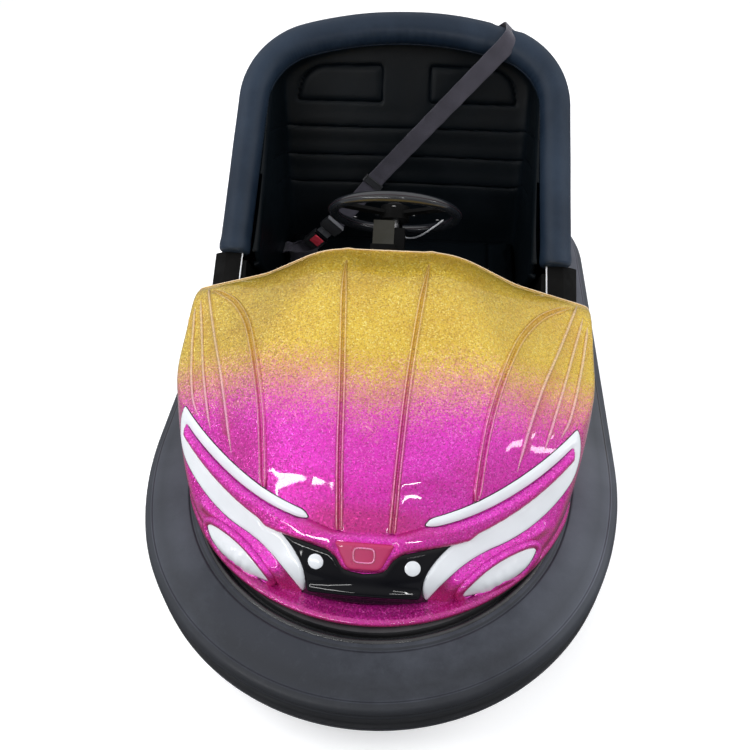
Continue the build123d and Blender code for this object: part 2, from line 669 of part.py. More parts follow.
def drive_mount():
    """Bridge over the drive unit; its feet stand on the floor over the rails."""
    inner = RAIL_X - RAIL / 2
    y0, y1 = DRIVE_Y - MOUNT_HALF_Y, DRIVE_Y + MOUNT_HALF_Y
    outer = inner + MOUNT_PLATE
    bridge = block(-outer, outer, y0, y1, MOUNT_BOTTOM, MOUNT_BOTTOM + MOUNT_PLATE)
    for side in SIDES.values():
        x0, x1 = sorted((side * inner, side * outer))
        bridge += block(x0, x1, y0, y1, FLOOR_TOP, MOUNT_BOTTOM)
    return bridge - Pos(0, DRIVE_Y, MOUNT_BOTTOM) * Cylinder(SPINDLE_RADIUS + AXLE_FIT, 4 * MOUNT_PLATE)


def gearbox_block():
    base = MOUNT_BOTTOM + MOUNT_PLATE
    half = GEARBOX_SIZE / 2
    return block(-half, half, DRIVE_Y - half, DRIVE_Y + half, base, base + GEARBOX_HEIGHT)


def steering_gearbox():
    """Closed gearbox on the bridge, bored for the fork's spindle."""
    bore = Cylinder(SPINDLE_RADIUS + AXLE_FIT, 2 * (SPINDLE_REACH + SPINDLE_END_GAP))
    return gearbox_block() - Pos(0, DRIVE_Y, MOUNT_BOTTOM + MOUNT_PLATE) * bore


def steer_plane(along=0.0):
    """Plane across the steering axis; its +Z points up at the driver."""
    tilt = radians(STEER_TILT)
    normal = Vector(0, sin(tilt), cos(tilt))
    origin = Vector(0, STEER_Y, STEER_Z) + normal * along
    return Plane(origin=origin, x_dir=(1, 0, 0), z_dir=normal)


def column_bar(size, start, end):
    return extrude(steer_plane(-start) * Rectangle(size, size), -(end - start))


def steering_column():
    """Box-section column from the gearbox to the wheel's hub."""
    column = column_bar(COLUMN_SIZE, COLUMN_START, COLUMN_REACH - COLUMN_END_GAP)
    bore = steer_plane(-COLUMN_START) * Circle(SHAFT_RADIUS + AXLE_FIT)
    return column - extrude(bore, -(SHAFT_REACH + SPINDLE_END_GAP)) - gearbox_block()


def column_collar():
    ring = extrude(steer_plane(-COLLAR_START) * Circle(COLLAR_RADIUS), -COLLAR_LENGTH)
    return ring - column_bar(COLUMN_SIZE, COLUMN_START, COLLAR_START + 2 * COLLAR_LENGTH)


def steering_wheel():
    """Rim, three spokes, hub and the shaft that runs in the column."""
    plane = steer_plane()
    rim_radius = (STEER_DIAMETER - STEER_RIM) / 2
    rim = plane * Torus(rim_radius, STEER_RIM / 2)
    hub = extrude(steer_plane(-HUB_HEIGHT / 2) * Circle(HUB_R), HUB_HEIGHT)
    spokes = None
    for angle in SPOKE_TURNS:
        bar = block(0, rim_radius, -SPOKE_HALF, SPOKE_HALF, -SPOKE_THICK / 2, SPOKE_THICK / 2)
        bar = Rot(0, 0, angle) * bar - Torus(rim_radius, STEER_RIM / 2)
        spoke = plane * (bar - Cylinder(HUB_R, HUB_HEIGHT))
        spokes = spoke if spokes is None else spokes + spoke
    shaft_length = COLUMN_START - HUB_HEIGHT / 2 + SHAFT_REACH
    shaft = extrude(steer_plane(-HUB_HEIGHT / 2) * Circle(SHAFT_RADIUS), -shaft_length)
    return rim, spokes, hub, shaft


def drive_housing():
    """Hollow cover over the drive unit, between the riders' feet."""
    w = HOUSING_WALL
    outer = block(-HOUSING_HALF_X, HOUSING_HALF_X, HOUSING_FRONT, HOUSING_REAR, FLOOR_TOP, HOUSING_TOP)
    outer = fillet(outer.edges().filter_by(Axis.Z), HOUSING_CORNER)
    half = HOUSING_HALF_X - w
    inner = block(-half, half, HOUSING_FRONT + w, HOUSING_REAR - w, 0, HOUSING_TOP - w)
    return outer - inner - column_bar(COLUMN_SIZE + 2 * HOUSING_GAP, COLUMN_START, COLUMN_REACH)


def accelerator_pedal():
    """Treadle on its heel bracket."""
    width, length, thick = PEDAL_SIZE
    plate = Rot(-PEDAL_TILT, 0, 0) * Pos(0, -length / 2, 0) * Box(width, length, thick)
    plate = Pos(PEDAL_X, PEDAL_Y, FLOOR_TOP + PEDAL_LIFT) * plate
    heel = block(PEDAL_X - HEEL_HALF, PEDAL_X + HEEL_HALF, PEDAL_Y - HEEL_DEPTH / 2, PEDAL_Y + HEEL_DEPTH / 2,
                 FLOOR_TOP, FLOOR_TOP + PEDAL_LIFT)
    return plate + heel


def under_rim(drop):
    """Everything more than a drop below the tub's sloping rim."""
    plane = tilted_plane(RIM_FOOT, RIM_HEAD, -drop)
    return extrude(plane * Rectangle(2 * OVER, 2 * OVER), -OVER)


def along_rim(start, end):
    """Everything between two distances up the rim's slope."""
    middle = Pos(0, (start + end) / 2, 0)
    return tilted_plane(RIM_FOOT, RIM_HEAD) * middle * Box(2 * OVER, end - start, 2 * OVER)


def rim_roll():
    """Round roll of padding over the tub's rim, with the belt's slot."""
    height = sqrt((RIM_HEAD[0] - RIM_FOOT[0]) ** 2 + (RIM_HEAD[1] - RIM_FOOT[1]) ** 2)
    _, _, half, bend_in, radius, crown = TUB[-1]
    sides = arch_outline(half, half - bend_in, radius, crown, height, RIM_ROLL_IN, PAD_FOOT)[:5]
    path = tilted_plane(RIM_FOOT, RIM_HEAD) * Wire(sides)
    start = Plane(origin=path @ 0, z_dir=path % 0)
    roll = sweep(start * Circle(RIM_PAD / 2), path=path)
    return roll - tub_wall() - belt_slot()


@cache
def tub_wall():
    """The rear moulding: the tub's form, hollow and open at the rim and underneath."""
    return tub_form(0.0) - tub_form(SHELL, RIM_PAD / 2, RIM_PAD)


def side_pad(side):
    """Upholstered inside of the tub beside the seat."""
    pad = tub_form(SHELL + SOFT_GAP) & under_rim(RIM_PAD / 2 + SOFT_GAP) & along_rim(PAD_FOOT, OVER)
    return mirrored(side, pad & block(SIDE_PAD_X, HALF, NOSE_Y, TAIL_Y, SEAT_TOP, OVER))


def sill_cover(side):
    """Smooth folded cover of the sill, from the bonnet up to the pads."""
    x = HALF - 158.0 - SHELL - COVER_WIDTH / 2
    outer = tub_form(SHELL + SOFT_GAP) & along_rim(0.0, PAD_FOOT - COVER_GAP)
    keep = block(x, HALF, NOSE_Y, TAIL_Y, SEAT_TOP, OVER)
    inner = under_rim(COVER_WALL) & block(x + COVER_WALL, HALF, NOSE_Y, TAIL_Y, 0, OVER)
    return mirrored(side, (outer & keep) - inner)


def back_slab(gap, thick, half, z0, z1):
    """Leaning slab of the seat back, from its front face backwards."""
    slab = block(-half, half, -gap, thick, -OVER, OVER)
    slab = Pos(0, BACK_FOOT[0], BACK_FOOT[1]) * Rot(-BACK_LEAN, 0, 0) * slab
    return slab & block(-half, half, NOSE_Y, TAIL_Y, z0, z1)


def seat_back_pad():
    pad = back_slab(0.0, BACK_THICK, BACK_HALF, SEAT_TOP, OVER)
    return pad & tub_form(SHELL + SOFT_GAP) & under_rim(RIM_PAD / 2 + SOFT_GAP)


def seat_cushion():
    half = SIDE_PAD_X - CUSHION_GAP
    pad = block(-half, half, CUSHION_FRONT, BASE_REAR, SEAT_TOP, CUSHION_TOP)
    pad -= back_slab(SOFT_GAP, OVER, HALF, 0.0, OVER)
    front = pad.edges().filter_by(Axis.X).sort_by(Axis.Y)[:2].sort_by(Axis.Z)[-1]
    return fillet(front, CUSHION_EDGE)


def seat_base():
    """Open-bottomed box under the cushion and the seat back."""
    w = BASE_WALL
    box = block(-BASE_HALF, BASE_HALF, BASE_FRONT, BASE_REAR, FLOOR_TOP, SEAT_TOP)
    return box - block(-BASE_HALF + w, BASE_HALF - w, BASE_FRONT + w, BASE_REAR - w, 0, SEAT_TOP - w)


def battery_pack():
    """Plain block for the batteries behind the seat."""
    rear = BATTERY_FRONT + BATTERY_DEPTH
    return block(-BATTERY_HALF, BATTERY_HALF, BATTERY_FRONT, rear, FLOOR_TOP, FLOOR_TOP + BATTERY_HEIGHT)


# ---------------------------------------------------------------- belt
ACROSS = Vector(cos(radians(BELT_LEAN)), 0, -sin(radians(BELT_LEAN)))    # the webbing's width


def rim_corner(inset, turn):
    """Point of the rim's rear left corner at a turn in degrees."""
    height = sqrt((RIM_HEAD[0] - RIM_FOOT[0]) ** 2 + (RIM_HEAD[1] - RIM_FOOT[1]) ** 2)
    _, _, half, bend_in, radius, crown = TUB[-1]
    x = half - bend_in + (radius - inset) * cos(radians(turn))
    up = height - radius - crown + (radius - inset) * sin(radians(turn))
    return tilted_plane(RIM_FOOT, RIM_HEAD).from_local_coords((x, up, 0))


def belt_plane():
    """Upright plane of the upper belt: its +X runs up the webbing's slope, its +Y is the car's."""
    origin = rim_corner(RIM_ROLL_IN, BELT_TURN)
    up = (sin(radians(BELT_LEAN)), 0, cos(radians(BELT_LEAN)))
    return Plane(origin=origin, x_dir=up, z_dir=ACROSS * -1)


def belt_path():
    """Line of the webbing from the adjuster over the roll to the anchor."""
    start = belt_plane().to_local_coords(Vector(*ADJUSTER))
    line = FilletPolyline(
        (start.X, start.Y), (BELT_RISE, -BELT_AHEAD), (BELT_RISE, BELT_BEHIND), (-ANCHOR_DROP, ANCHOR_BACK),
        radius=BELT_BEND,
    )
    return belt_plane() * line


def webbing(path, width, thick):
    section = Plane(origin=path @ 0, x_dir=ACROSS, z_dir=path % 0) * Rectangle(width, thick)
    return sweep(section, path=path)


def belt_slot():
    """What the webbing takes out of the roll: all that lies outside its line."""
    path = belt_path()
    start = belt_plane().to_local_coords(path @ 0)
    close = belt_plane() * Line((-ANCHOR_DROP, ANCHOR_BACK), (start.X, start.Y))
    core = extrude(make_face(path.edges() + close.edges()), OVER, both=True)
    width = WEBBING + 2 * WEBBING_THICK
    slab = belt_plane() * Box(4 * RIM_PAD, 4 * RIM_PAD, width)
    return (slab - core) + webbing(path, width, WEBBING_THICK + 2 * SOFT_GAP)


def strap(start, end, size, across):
    """Bar between two points: (width, thickness) of its section, and the way its width runs."""
    a, b = Vector(*start), Vector(*end)
    plane = Plane(origin=a, x_dir=across, z_dir=b - a)
    return extrude(plane * Rectangle(*size), (b - a).length)


def belt_box(centre, size, ahead):
    """Box on the belt: (length, width, thickness), its length along a direction."""
    plane = Plane(origin=centre, x_dir=ahead, z_dir=ahead.cross(ACROSS))
    return plane * Box(*size)


def belt():
    """The belt's pieces by node."""
    tongue, buckle = Vector(*TONGUE), Vector(*BUCKLE)
    down = (buckle - tongue).normalized()
    path = belt_path()
    boot = belt_plane() * Pos(-ANCHOR_DROP, ANCHOR_BACK, 0)
    boot *= Rot(0, 0, degrees(atan2(ANCHOR_BACK - BELT_BEHIND, -ANCHOR_DROP - BELT_RISE)))
    length, width, thick = ANCHOR_SIZE
    anchor = boot * Box(length, thick, width) - tub_form(0.0, RIM_PAD, RIM_PAD)
    head = belt_box(tongue, TONGUE_SIZE, down)
    lock = belt_box(buckle, BUCKLE_SIZE, down)
    plate = belt_box(tongue + down * (TONGUE_SIZE[0] + PLATE_SIZE[0]) / 2, PLATE_SIZE, down)
    upper = webbing(path, WEBBING, WEBBING_THICK) - boot * Box(length, thick, width) - tub_wall()
    upper += strap(ADJUSTER, TONGUE, (WEBBING, WEBBING_THICK), ACROSS) - head
    hip_x = -SIDE_PAD_X + CUSHION_GAP / 2
    turn = Vector(hip_x, HIP_Y, CUSHION_TOP + HIP_RISE)
    end = buckle + down * BUCKLE_SIZE[0] / 2
    leave = Plane(origin=end, x_dir=ACROSS, z_dir=down) * Rectangle(WEBBING, WEBBING_THICK)
    enter = Plane(origin=turn, x_dir=(0, 1, 0), z_dir=(0, 0, -1)) * Rectangle(WEBBING, WEBBING_THICK)
    lower = loft([leave, enter]) + extrude(enter, turn.Z - SEAT_TOP)
    return {
        "belt_anchor": anchor,
        "belt_upper": upper,
        "belt_tongue": head + (plate - head),
        "belt_buckle": lock - plate,
        "belt_lower": lower,
    }


# ---------------------------------------------------------------- nodes
NODES = {
    "bumper_ring": bumper_ring(),
    "bumper_hoop": bumper_hoop(),
    "body_tray": body_tray(),
    "floor_pan": floor_pan(),
    "chassis_frame": chassis_frame(),
    "rear_body": tub_wall(),
    "drive_fork": drive_fork(),
    "drive_axle": drive_axle(),
    "drive_motor": drive_motor(),
    "drive_mount": drive_mount(),
    "drive_housing": drive_housing(),
    "steering_gearbox": steering_gearbox(),
    "steering_column": steering_column(),
    "column_collar": column_collar(),
    "accelerator_pedal": accelerator_pedal(),
    "seat_rim_pad": rim_roll(),
    "seat_back_pad": seat_back_pad(),
    "seat_cushion": seat_cushion(),
    "seat_base": seat_base(),
    "battery_pack": battery_pack(),
    "sill_covers": [sill_cover(side) for side in SIDES.values()],
}
NODES.update(front_mouldings())
NODES.update(belt())
NODES.update(zip(("steering_rim", "steering_spokes", "steering_hub", "steering_shaft"), steering_wheel()))
NODES["drive_tyre"], NODES["drive_hub"] = wheel(0.0, DRIVE_Y, DRIVE_WIDTH)
axle_end = REAR_WHEEL_X + WHEEL_WIDTH / 2 + AXLE_END
axle_ends = [(side * axle_end, REAR_WHEEL_Y, WHEEL_RADIUS) for side in SIDES.values()]
NODES["rear_axle"] = rod(*axle_ends, AXLE_RADIUS)
for name, side in SIDES.items():
    tyre, hub = wheel(side * REAR_WHEEL_X, REAR_WHEEL_Y, WHEEL_WIDTH)
    NODES[f"rear_tyre_{name}"], NODES[f"rear_hub_{name}"] = tyre, hub
    NODES[f"seat_side_pad_{name}"] = side_pad(side)
for node, shape in NODES.items():
    save(shape, node)
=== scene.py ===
import json
from math import asin, atan2, cos, degrees, hypot, pi, radians, sin, tan

import bmesh
import bpy
import numpy as np
from mathutils import Matrix, Vector, noise
from mathutils.bvhtree import BVHTree
from mathutils.geometry import delaunay_2d_cdt

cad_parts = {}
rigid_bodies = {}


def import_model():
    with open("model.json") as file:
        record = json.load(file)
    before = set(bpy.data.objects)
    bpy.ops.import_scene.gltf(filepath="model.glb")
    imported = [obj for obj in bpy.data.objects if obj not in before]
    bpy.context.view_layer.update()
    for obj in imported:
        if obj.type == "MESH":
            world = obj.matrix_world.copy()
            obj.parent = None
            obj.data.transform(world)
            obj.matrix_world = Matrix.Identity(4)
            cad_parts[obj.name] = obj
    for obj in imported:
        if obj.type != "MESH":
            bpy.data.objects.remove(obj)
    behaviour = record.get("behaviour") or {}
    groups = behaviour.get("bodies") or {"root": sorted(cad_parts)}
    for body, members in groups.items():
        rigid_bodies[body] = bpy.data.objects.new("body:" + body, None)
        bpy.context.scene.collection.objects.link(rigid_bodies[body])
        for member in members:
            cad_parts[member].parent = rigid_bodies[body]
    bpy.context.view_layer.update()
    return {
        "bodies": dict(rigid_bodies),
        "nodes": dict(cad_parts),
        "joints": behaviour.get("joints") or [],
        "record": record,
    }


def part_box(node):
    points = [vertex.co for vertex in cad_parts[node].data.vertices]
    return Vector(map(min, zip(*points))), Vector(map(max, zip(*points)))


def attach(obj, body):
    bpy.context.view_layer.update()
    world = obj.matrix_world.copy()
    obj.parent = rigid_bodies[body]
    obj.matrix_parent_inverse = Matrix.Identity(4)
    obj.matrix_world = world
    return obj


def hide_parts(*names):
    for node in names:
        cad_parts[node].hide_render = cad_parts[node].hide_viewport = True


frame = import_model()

# Looks of the bumper car, in metres. The nose points to -Y, the driver's left is +X.
NODES = frame["nodes"]
SIDES = (("left", 1), ("right", -1))


def corners(node):
    """Lowest and highest corner of a CAD node."""
    low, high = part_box(node)
    return Vector(low), Vector(high)


# ------------------------------------------------------------------ driving sizes
RING_LOW, RING_HIGH = corners("bumper_ring")
HALF = RING_HIGH.x
NOSE_Y, TAIL_Y = RING_LOW.y, RING_HIGH.y
BODY_LOW, BODY_HIGH = corners("front_body")
BONNET_REAR = BODY_HIGH.y
BODY_BASE = BODY_LOW.z
RING_WIDTH = 0.142
BEAD_RADIUS, BEAD_IN, BEAD_DROP = 0.0078, 0.0115, 0.0045    # bead at the ring's inner edge
RIM_FOOT = (BONNET_REAR - 0.034, 0.477)
RIM_HEAD = (TAIL_Y - 0.456, 0.947)
RIM_SHAPE = (HALF - 0.158, 0.212, 0.189, 0.031)    # half width, bend in, bend radius, crown
RIM_PAD = 0.075
RIM_ROLL_IN = 0.0115
PAD_FOOT = 0.124
SIDE_PAD_X = HALF - 0.221
NOSE_PLANE = Vector((0, NOSE_Y + 0.255, 0.300))
NOSE_LEAN = radians(45)
STEER = Vector((0, BONNET_REAR + 0.156, 0.639))
DRIVE_Y = STEER.y - 0.358
STEER_TILT = atan2(STEER.y - DRIVE_Y, STEER.z - 0.3256)
STEER_AXIS = Vector((0, sin(STEER_TILT), cos(STEER_TILT)))
BACK_LEAN = radians(11.7)
BACK_FOOT = (0.430, 0.372)


# ------------------------------------------------------------------ node materials
class Tree:
    """A node tree, with short calls for the nodes used here."""

    def __init__(self, tree):
        self.tree = tree

    def node(self, kind, **settings):
        made = self.tree.nodes.new(kind)
        for key, value in settings.items():
            setattr(made, key, value)
        return made

    def link(self, value, socket):
        if isinstance(value, bpy.types.NodeSocket):
            self.tree.links.new(value, socket)
        else:
            socket.default_value = value

    def math(self, operation, *values, clamp=False):
        made = self.node("ShaderNodeMath", operation=operation, use_clamp=clamp)
        for value, socket in zip(values, made.inputs):
            self.link(value, socket)
        return made.outputs[0]

    def vector(self, operation, *values, scale=None):
        made = self.node("ShaderNodeVectorMath", operation=operation)
        for value, socket in zip(values, made.inputs):
            self.link(value, socket)
        if scale is not None:
            made.inputs["Scale"].default_value = scale
        return made.outputs[0]

    def split(self, vector):
        made = self.node("ShaderNodeSeparateXYZ")
        self.link(vector, made.inputs[0])
        return made.outputs

    def ramp(self, value, stops, smooth=False):
        made = self.node("ShaderNodeValToRGB")
        made.color_ramp.interpolation = "EASE" if smooth else "LINEAR"
        while len(made.color_ramp.elements) < len(stops):
            made.color_ramp.elements.new(0.5)
        for element, (place, colour) in zip(made.color_ramp.elements, stops):
            element.position = place
            element.color = (*colour, 1) if len(colour) == 3 else colour
        self.link(value, made.inputs[0])
        return made.outputs[0]

    def grey(self, value, low, high, start=0.0, end=1.0):
        """Value from start to end mapped to low to high."""
        made = self.node("ShaderNodeMapRange")
        self.link(value, made.inputs["Value"])
        for key, number in (("From Min", start), ("From Max", end), ("To Min", low), ("To Max", high)):
            made.inputs[key].default_value = number
        return made.outputs["Result"]

    def mix(self, factor, a, b, blend="MIX"):
        made = self.node("ShaderNodeMix", data_type="RGBA", blend_type=blend)
        self.link(factor, made.inputs["Factor"])
        for value, key in ((a, "A"), (b, "B")):
            socket = [s for s in made.inputs if s.name == key and s.type == "RGBA"][0]
            self.link((*value, 1) if isinstance(value, tuple) and len(value) == 3 else value, socket)
        return [s for s in made.outputs if s.type == "RGBA"][0]

    def blend(self, factor, a, b):
        """Shader a where the factor is 0, and b where it is 1."""
        made = self.node("ShaderNodeMixShader")
        for value, socket in zip((factor, a, b), made.inputs):
            self.link(value, socket)
        return made.outputs[0]


class Shader(Tree):
    """A material with its principled shader."""

    def __init__(self, name):
        self.mat = bpy.data.materials.new(name)
        self.mat.use_nodes = True
        super().__init__(self.mat.node_tree)
        self.bsdf = self.tree.nodes["Principled BSDF"]
        self.place = self.node("ShaderNodeTexCoord").outputs["Object"]

    def noise(self, scale, detail=3.0, rough=0.5, stretch=None):
        made = self.node("ShaderNodeTexNoise")
        self.link(self.stretched(stretch), made.inputs["Vector"])
        made.inputs["Scale"].default_value = scale
        made.inputs["Detail"].default_value = detail
        made.inputs["Roughness"].default_value = rough
        return made.outputs["Fac"]

    def stretched(self, scale):
        if scale is None:
            return self.place
        made = self.node("ShaderNodeMapping")
        self.link(self.place, made.inputs["Vector"])
        made.inputs["Scale"].default_value = scale
        return made.outputs["Vector"]

    def cells(self, scale, feature="F1", output="Distance", stretch=None):
        made = self.node("ShaderNodeTexVoronoi", feature=feature)
        self.link(self.stretched(stretch), made.inputs["Vector"])
        made.inputs["Scale"].default_value = scale
        return made.outputs[output]

    def normal(self):
        return self.node("ShaderNodeNewGeometry").outputs["Normal"]

    def bump(self, height, strength, distance, under=None):
        made = self.node("ShaderNodeBump")
        made.inputs["Strength"].default_value = strength
        made.inputs["Distance"].default_value = distance
        self.link(height, made.inputs["Height"])
        if under is not None:
            self.link(under, made.inputs["Normal"])
        return made.outputs["Normal"]

    def finish(self, colour, rough, metal=None, normal=None, **sockets):
        given = {"Base Color": colour, "Roughness": rough, "Metallic": metal, "Normal": normal}
        for key, value in given.items():
            if value is not None:
                if isinstance(value, tuple) and len(value) == 3:
                    value = (*value, 1)
                self.link(value, self.bsdf.inputs[key])
        for key, value in sockets.items():
            self.bsdf.inputs[key.replace("_", " ")].default_value = value
        return self.mat


GOLD = (0.80, 0.55, 0.045)
GOLD_DARK = (0.50, 0.30, 0.018)
GOLD_LIGHT = (1.0, 0.84, 0.24)
MAGENTA = (0.80, 0.016, 0.56)
MAGENTA_DARK = (0.46, 0.005, 0.27)
MAGENTA_LIGHT = (1.0, 0.16, 0.82)
# Darker crimsons for painted shade: on magenta faces that turn down or forward, and in the nose's recess.
DOWN_FACING_SHADE_CRIMSON = (0.46, 0.010, 0.115)
RECESS_SHADE_CRIMSON = (0.46, 0.008, 0.15)
FLAKES = 430.0              # glitter cells per metre
FLAKE_TILT = 0.55           # how far a flake leans out of the surface


def glitter(name, blend, tint=0.0, toward=(0.55, 0.10, 0.055), on_gold=0.35):
    """Glitter paint under clear coat, painted shade on down-turned faces; blend gives 0 for gold, 1 for
    magenta at a place.
    """
    s = Shader(name)
    fade = blend(s)
    flake = s.cells(FLAKES, output="Color")
    chance = s.split(flake)
    soft = s.noise(9.0, 2.0)
    fade = s.math("ADD", fade, s.grey(chance[2], -0.22, 0.22), clamp=True)
    gold = s.ramp(chance[0], [(0.0, GOLD_DARK), (0.45, GOLD), (0.8, GOLD), (1.0, GOLD_LIGHT)])
    pink = s.ramp(chance[0], [(0.0, MAGENTA_DARK), (0.4, MAGENTA), (0.82, MAGENTA), (1.0, MAGENTA_LIGHT)])
    colour = s.mix(s.ramp(fade, [(0.15, (0, 0, 0)), (0.85, (1, 1, 1))]), gold, pink)
    colour = s.mix(s.grey(soft, 0.0, 0.25, 0.4, 0.7), colour, (0.5, 0.2, 0.1), "MULTIPLY")
    # Painted shade: magenta faces that turn down or forward mix towards a darker crimson.
    tilt = s.split(s.normal())[2]
    down_facing_shade = s.math("MULTIPLY", s.grey(tilt, 0.9, 0.0, 0.28, 0.75), fade)
    colour = s.mix(down_facing_shade, colour, DOWN_FACING_SHADE_CRIMSON)
    x, y, z = s.split(s.place)[:3]
    # Painted shade: a darker crimson band across the nose's recess above the brow, placed by position.
    recess_shade = s.math("MULTIPLY", s.grey(y, 0.0, 1.0, -0.625, -0.648), s.grey(y, 0.0, 1.0, -0.69, -0.675))
    recess_shade = s.math("MULTIPLY", recess_shade, s.grey(s.math("ABSOLUTE", x), 0.7, 0.0, 0.08, 0.19))
    recess_shade = s.math("MULTIPLY", recess_shade, s.grey(z, 0.0, 1.0, 0.40, 0.41))
    colour = s.mix(recess_shade, colour, RECESS_SHADE_CRIMSON)
    # tint mixes towards a colour, less on the gold: rib a darker red as painted shade, lip and crest a pale
    # colour as painted highlight, the ledge a darker crimson.
    if tint:
        colour = s.mix(s.math("MULTIPLY", s.grey(fade, on_gold, 1.0), tint), colour, toward)
    scatter = s.vector("SUBTRACT", flake, (0.5, 0.5, 0.5))
    lean = s.vector("SCALE", scatter, scale=FLAKE_TILT)
    normal = s.vector("NORMALIZE", s.vector("ADD", lean, s.normal()))
    s.finish(colour, s.grey(chance[1], 0.25, 0.5), 0.55, normal,
             Coat_Weight=1.0, Coat_Roughness=0.04)
    ripple = s.bump(s.noise(34.0, 2.0), 0.04, 0.002)
    s.link(ripple, s.bsdf.inputs["Coat Normal"])
    return s.mat


def front_fade(s):
    """Gold at the rear of the bonnet, magenta on the nose and low on the sides."""
    x, y, z = s.split(s.place)[:3]
    run = s.math("SUBTRACT", y, s.math("MULTIPLY", s.math("ABSOLUTE", x), 0.18))
    run = s.math("ADD", run, s.math("MULTIPLY", s.math("SUBTRACT", z, 0.55), 0.15))
    return s.grey(run, 0.0, 1.0, -0.36, -0.56)


def rear_fade(s):
    """Gold at the front and along the rim, magenta low at the tail."""
    y, z = s.split(s.place)[1:3]
    run = s.math("SUBTRACT", s.math("MULTIPLY", y, 0.55), s.math("SUBTRACT", z, 0.25))
    return s.grey(run, 0.0, 1.0, -0.12, 0.2)


def plastic(name, colour, rough=0.3, grain=900.0, depth=0.00015, coat=0.0, dirt=0.0, shine=0.5):
    """Moulded plastic with a fine grain and a little dust."""
    s = Shader(name)
    dusty = tuple(min(1.0, c * 0.6 + 0.08) for c in colour)
    base = s.mix(s.grey(s.noise(6.0, 4.0), 0.0, dirt, 0.35, 0.75), colour, dusty)
    roughness = s.grey(s.noise(28.0, 4.0), rough * 0.8, rough * 1.25, 0.3, 0.7)
    normal = s.bump(s.noise(grain, 2.0), 0.35, depth)
    return s.finish(base, roughness, None, normal, Coat_Weight=coat, Specular_IOR_Level=shine)


def vinyl(name, colour, light, shine, grain=520.0):
    """Soft vinyl with leather grain, sheen and worn highs."""
    s = Shader(name)
    grainy = s.cells(grain, stretch=(1.0, 1.15, 0.9))
    fine = s.noise(grain * 2.4, 2.0)
    wear = s.noise(5.0, 5.0, 0.65)
    base = s.mix(s.grey(wear, 0.0, 0.8, 0.38, 0.72), colour, light)
    base = s.mix(s.grey(grainy, 0.25, 0.0, 0.0, 0.5), base, (0.0, 0.0, 0.0), "MULTIPLY")
    height = s.math("ADD", s.math("MULTIPLY", grainy, 0.8), s.math("MULTIPLY", fine, 0.3))
    broad = s.bump(s.noise(17.0, 3.0), 0.25, 0.004)
    normal = s.bump(height, 0.3, 0.0004, broad)
    roughness = s.grey(wear, 0.34, 0.52, 0.3, 0.7)
    return s.finish(base, roughness, None, normal, Specular_IOR_Level=shine)


def rubber(name, colour, scuff, grain=260.0, dust=0.0):
    """Satin rubber with pale scuffs, streaks, a fine grain, painted shade off the top and a painted side
    haze.
    """
    s = Shader(name)
    marks = s.noise(3.2, 8.0, 0.72, stretch=(1.0, 1.0, 3.5))
    spots = s.cells(70.0)
    rubbed = s.noise(46.0, 4.0, 0.7)
    base = s.mix(s.grey(marks, 0.0, 0.75, 0.47, 0.7), colour, scuff)
    base = s.mix(s.grey(rubbed, 0.0, 0.3, 0.55, 0.8), base, scuff)
    base = s.mix(s.grey(spots, 0.5, 0.0, 0.0, 0.05), base, (0.012, 0.012, 0.014))
    # Painted reflection: with dust set, a paler haze lies on the left and right sides by position, strongest
    # at +X, broken by noise.
    if dust:
        x = s.split(s.place)[0]
        cover = s.math("MAXIMUM", s.grey(x, 0.0, 1.0, 0.30, 0.52), s.grey(x, 0.0, 0.45, -0.30, -0.52))
        cover = s.math("MULTIPLY", cover, s.grey(s.noise(5.0, 5.0), 0.45, 1.0, 0.3, 0.7))
        base = s.mix(s.math("MULTIPLY", cover, dust), base, (0.15, 0.165, 0.20))
    # Painted shade: sides and undersides darken to near black, and faces a little off level darken slightly.
    facing = s.split(s.normal())[2]
    base = s.mix(s.grey(facing, 0.85, 0.0, 0.1, 0.75), base, (0.004, 0.0045, 0.005))
    base = s.mix(s.grey(facing, 0.55, 0.0, 0.93, 0.99), base, (0.010, 0.011, 0.013))
    normal = s.bump(s.noise(grain, 4.0, 0.6), 0.3, 0.0006)
    roughness = s.grey(marks, 0.42, 0.66, 0.35, 0.7)
    s.link(s.grey(facing, 0.12, 0.4, 0.1, 0.8), s.bsdf.inputs["Specular IOR Level"])
    return s.finish(base, roughness, None, normal)


def painted(name, colour, chip=(0.16, 0.1, 0.07), rough=0.36, worn=0.25):
    """Painted steel with rubbed and chipped spots and a slight orange peel."""
    s = Shader(name)
    worn_spots = s.grey(s.noise(38.0, 6.0, 0.7), 0.0, 1.0, 0.66, 0.74)
    dust = s.noise(7.0, 5.0, 0.6)
    base = s.mix(s.grey(dust, 0.0, 0.45, 0.4, 0.75), colour, tuple(c * 0.5 + 0.07 for c in colour))
    base = s.mix(s.math("MULTIPLY", worn_spots, worn), base, chip)
    normal = s.bump(s.noise(180.0, 2.0), 0.12, 0.0005)
    return s.finish(base, s.grey(dust, rough * 0.8, rough * 1.4, 0.3, 0.7), None, normal)


def metal(name, colour, rough=0.25, along=(1.0, 1.0, 1.0)):
    """Bright or cast metal with brushed streaks and a little tarnish."""
    s = Shader(name)
    streak = s.noise(90.0, 5.0, 0.6, stretch=along)
    tarnish = s.noise(12.0, 5.0, 0.6)
    base = s.mix(s.grey(tarnish, 0.0, 0.5, 0.45, 0.75), colour, tuple(c * 0.55 for c in colour))
    normal = s.bump(streak, 0.08, 0.0004)
    return s.finish(base, s.grey(streak, rough * 0.75, rough * 1.4, 0.3, 0.7), 1.0, normal)


def opal(name, tint=(0.73, 0.755, 0.78)):
    """Opal white lens under gloss, a little yellowed and dusty in places."""
    s = Shader(name)
    cloud = s.noise(14.0, 4.0)
    base = s.mix(s.grey(cloud, 0.0, 0.6, 0.4, 0.75), tint, tuple(c * 0.86 for c in tint))
    normal = s.bump(s.noise(60.0, 2.0), 0.05, 0.001)
    return s.finish(base, s.grey(cloud, 0.16, 0.26, 0.3, 0.7), None, normal, Coat_Weight=0.5)


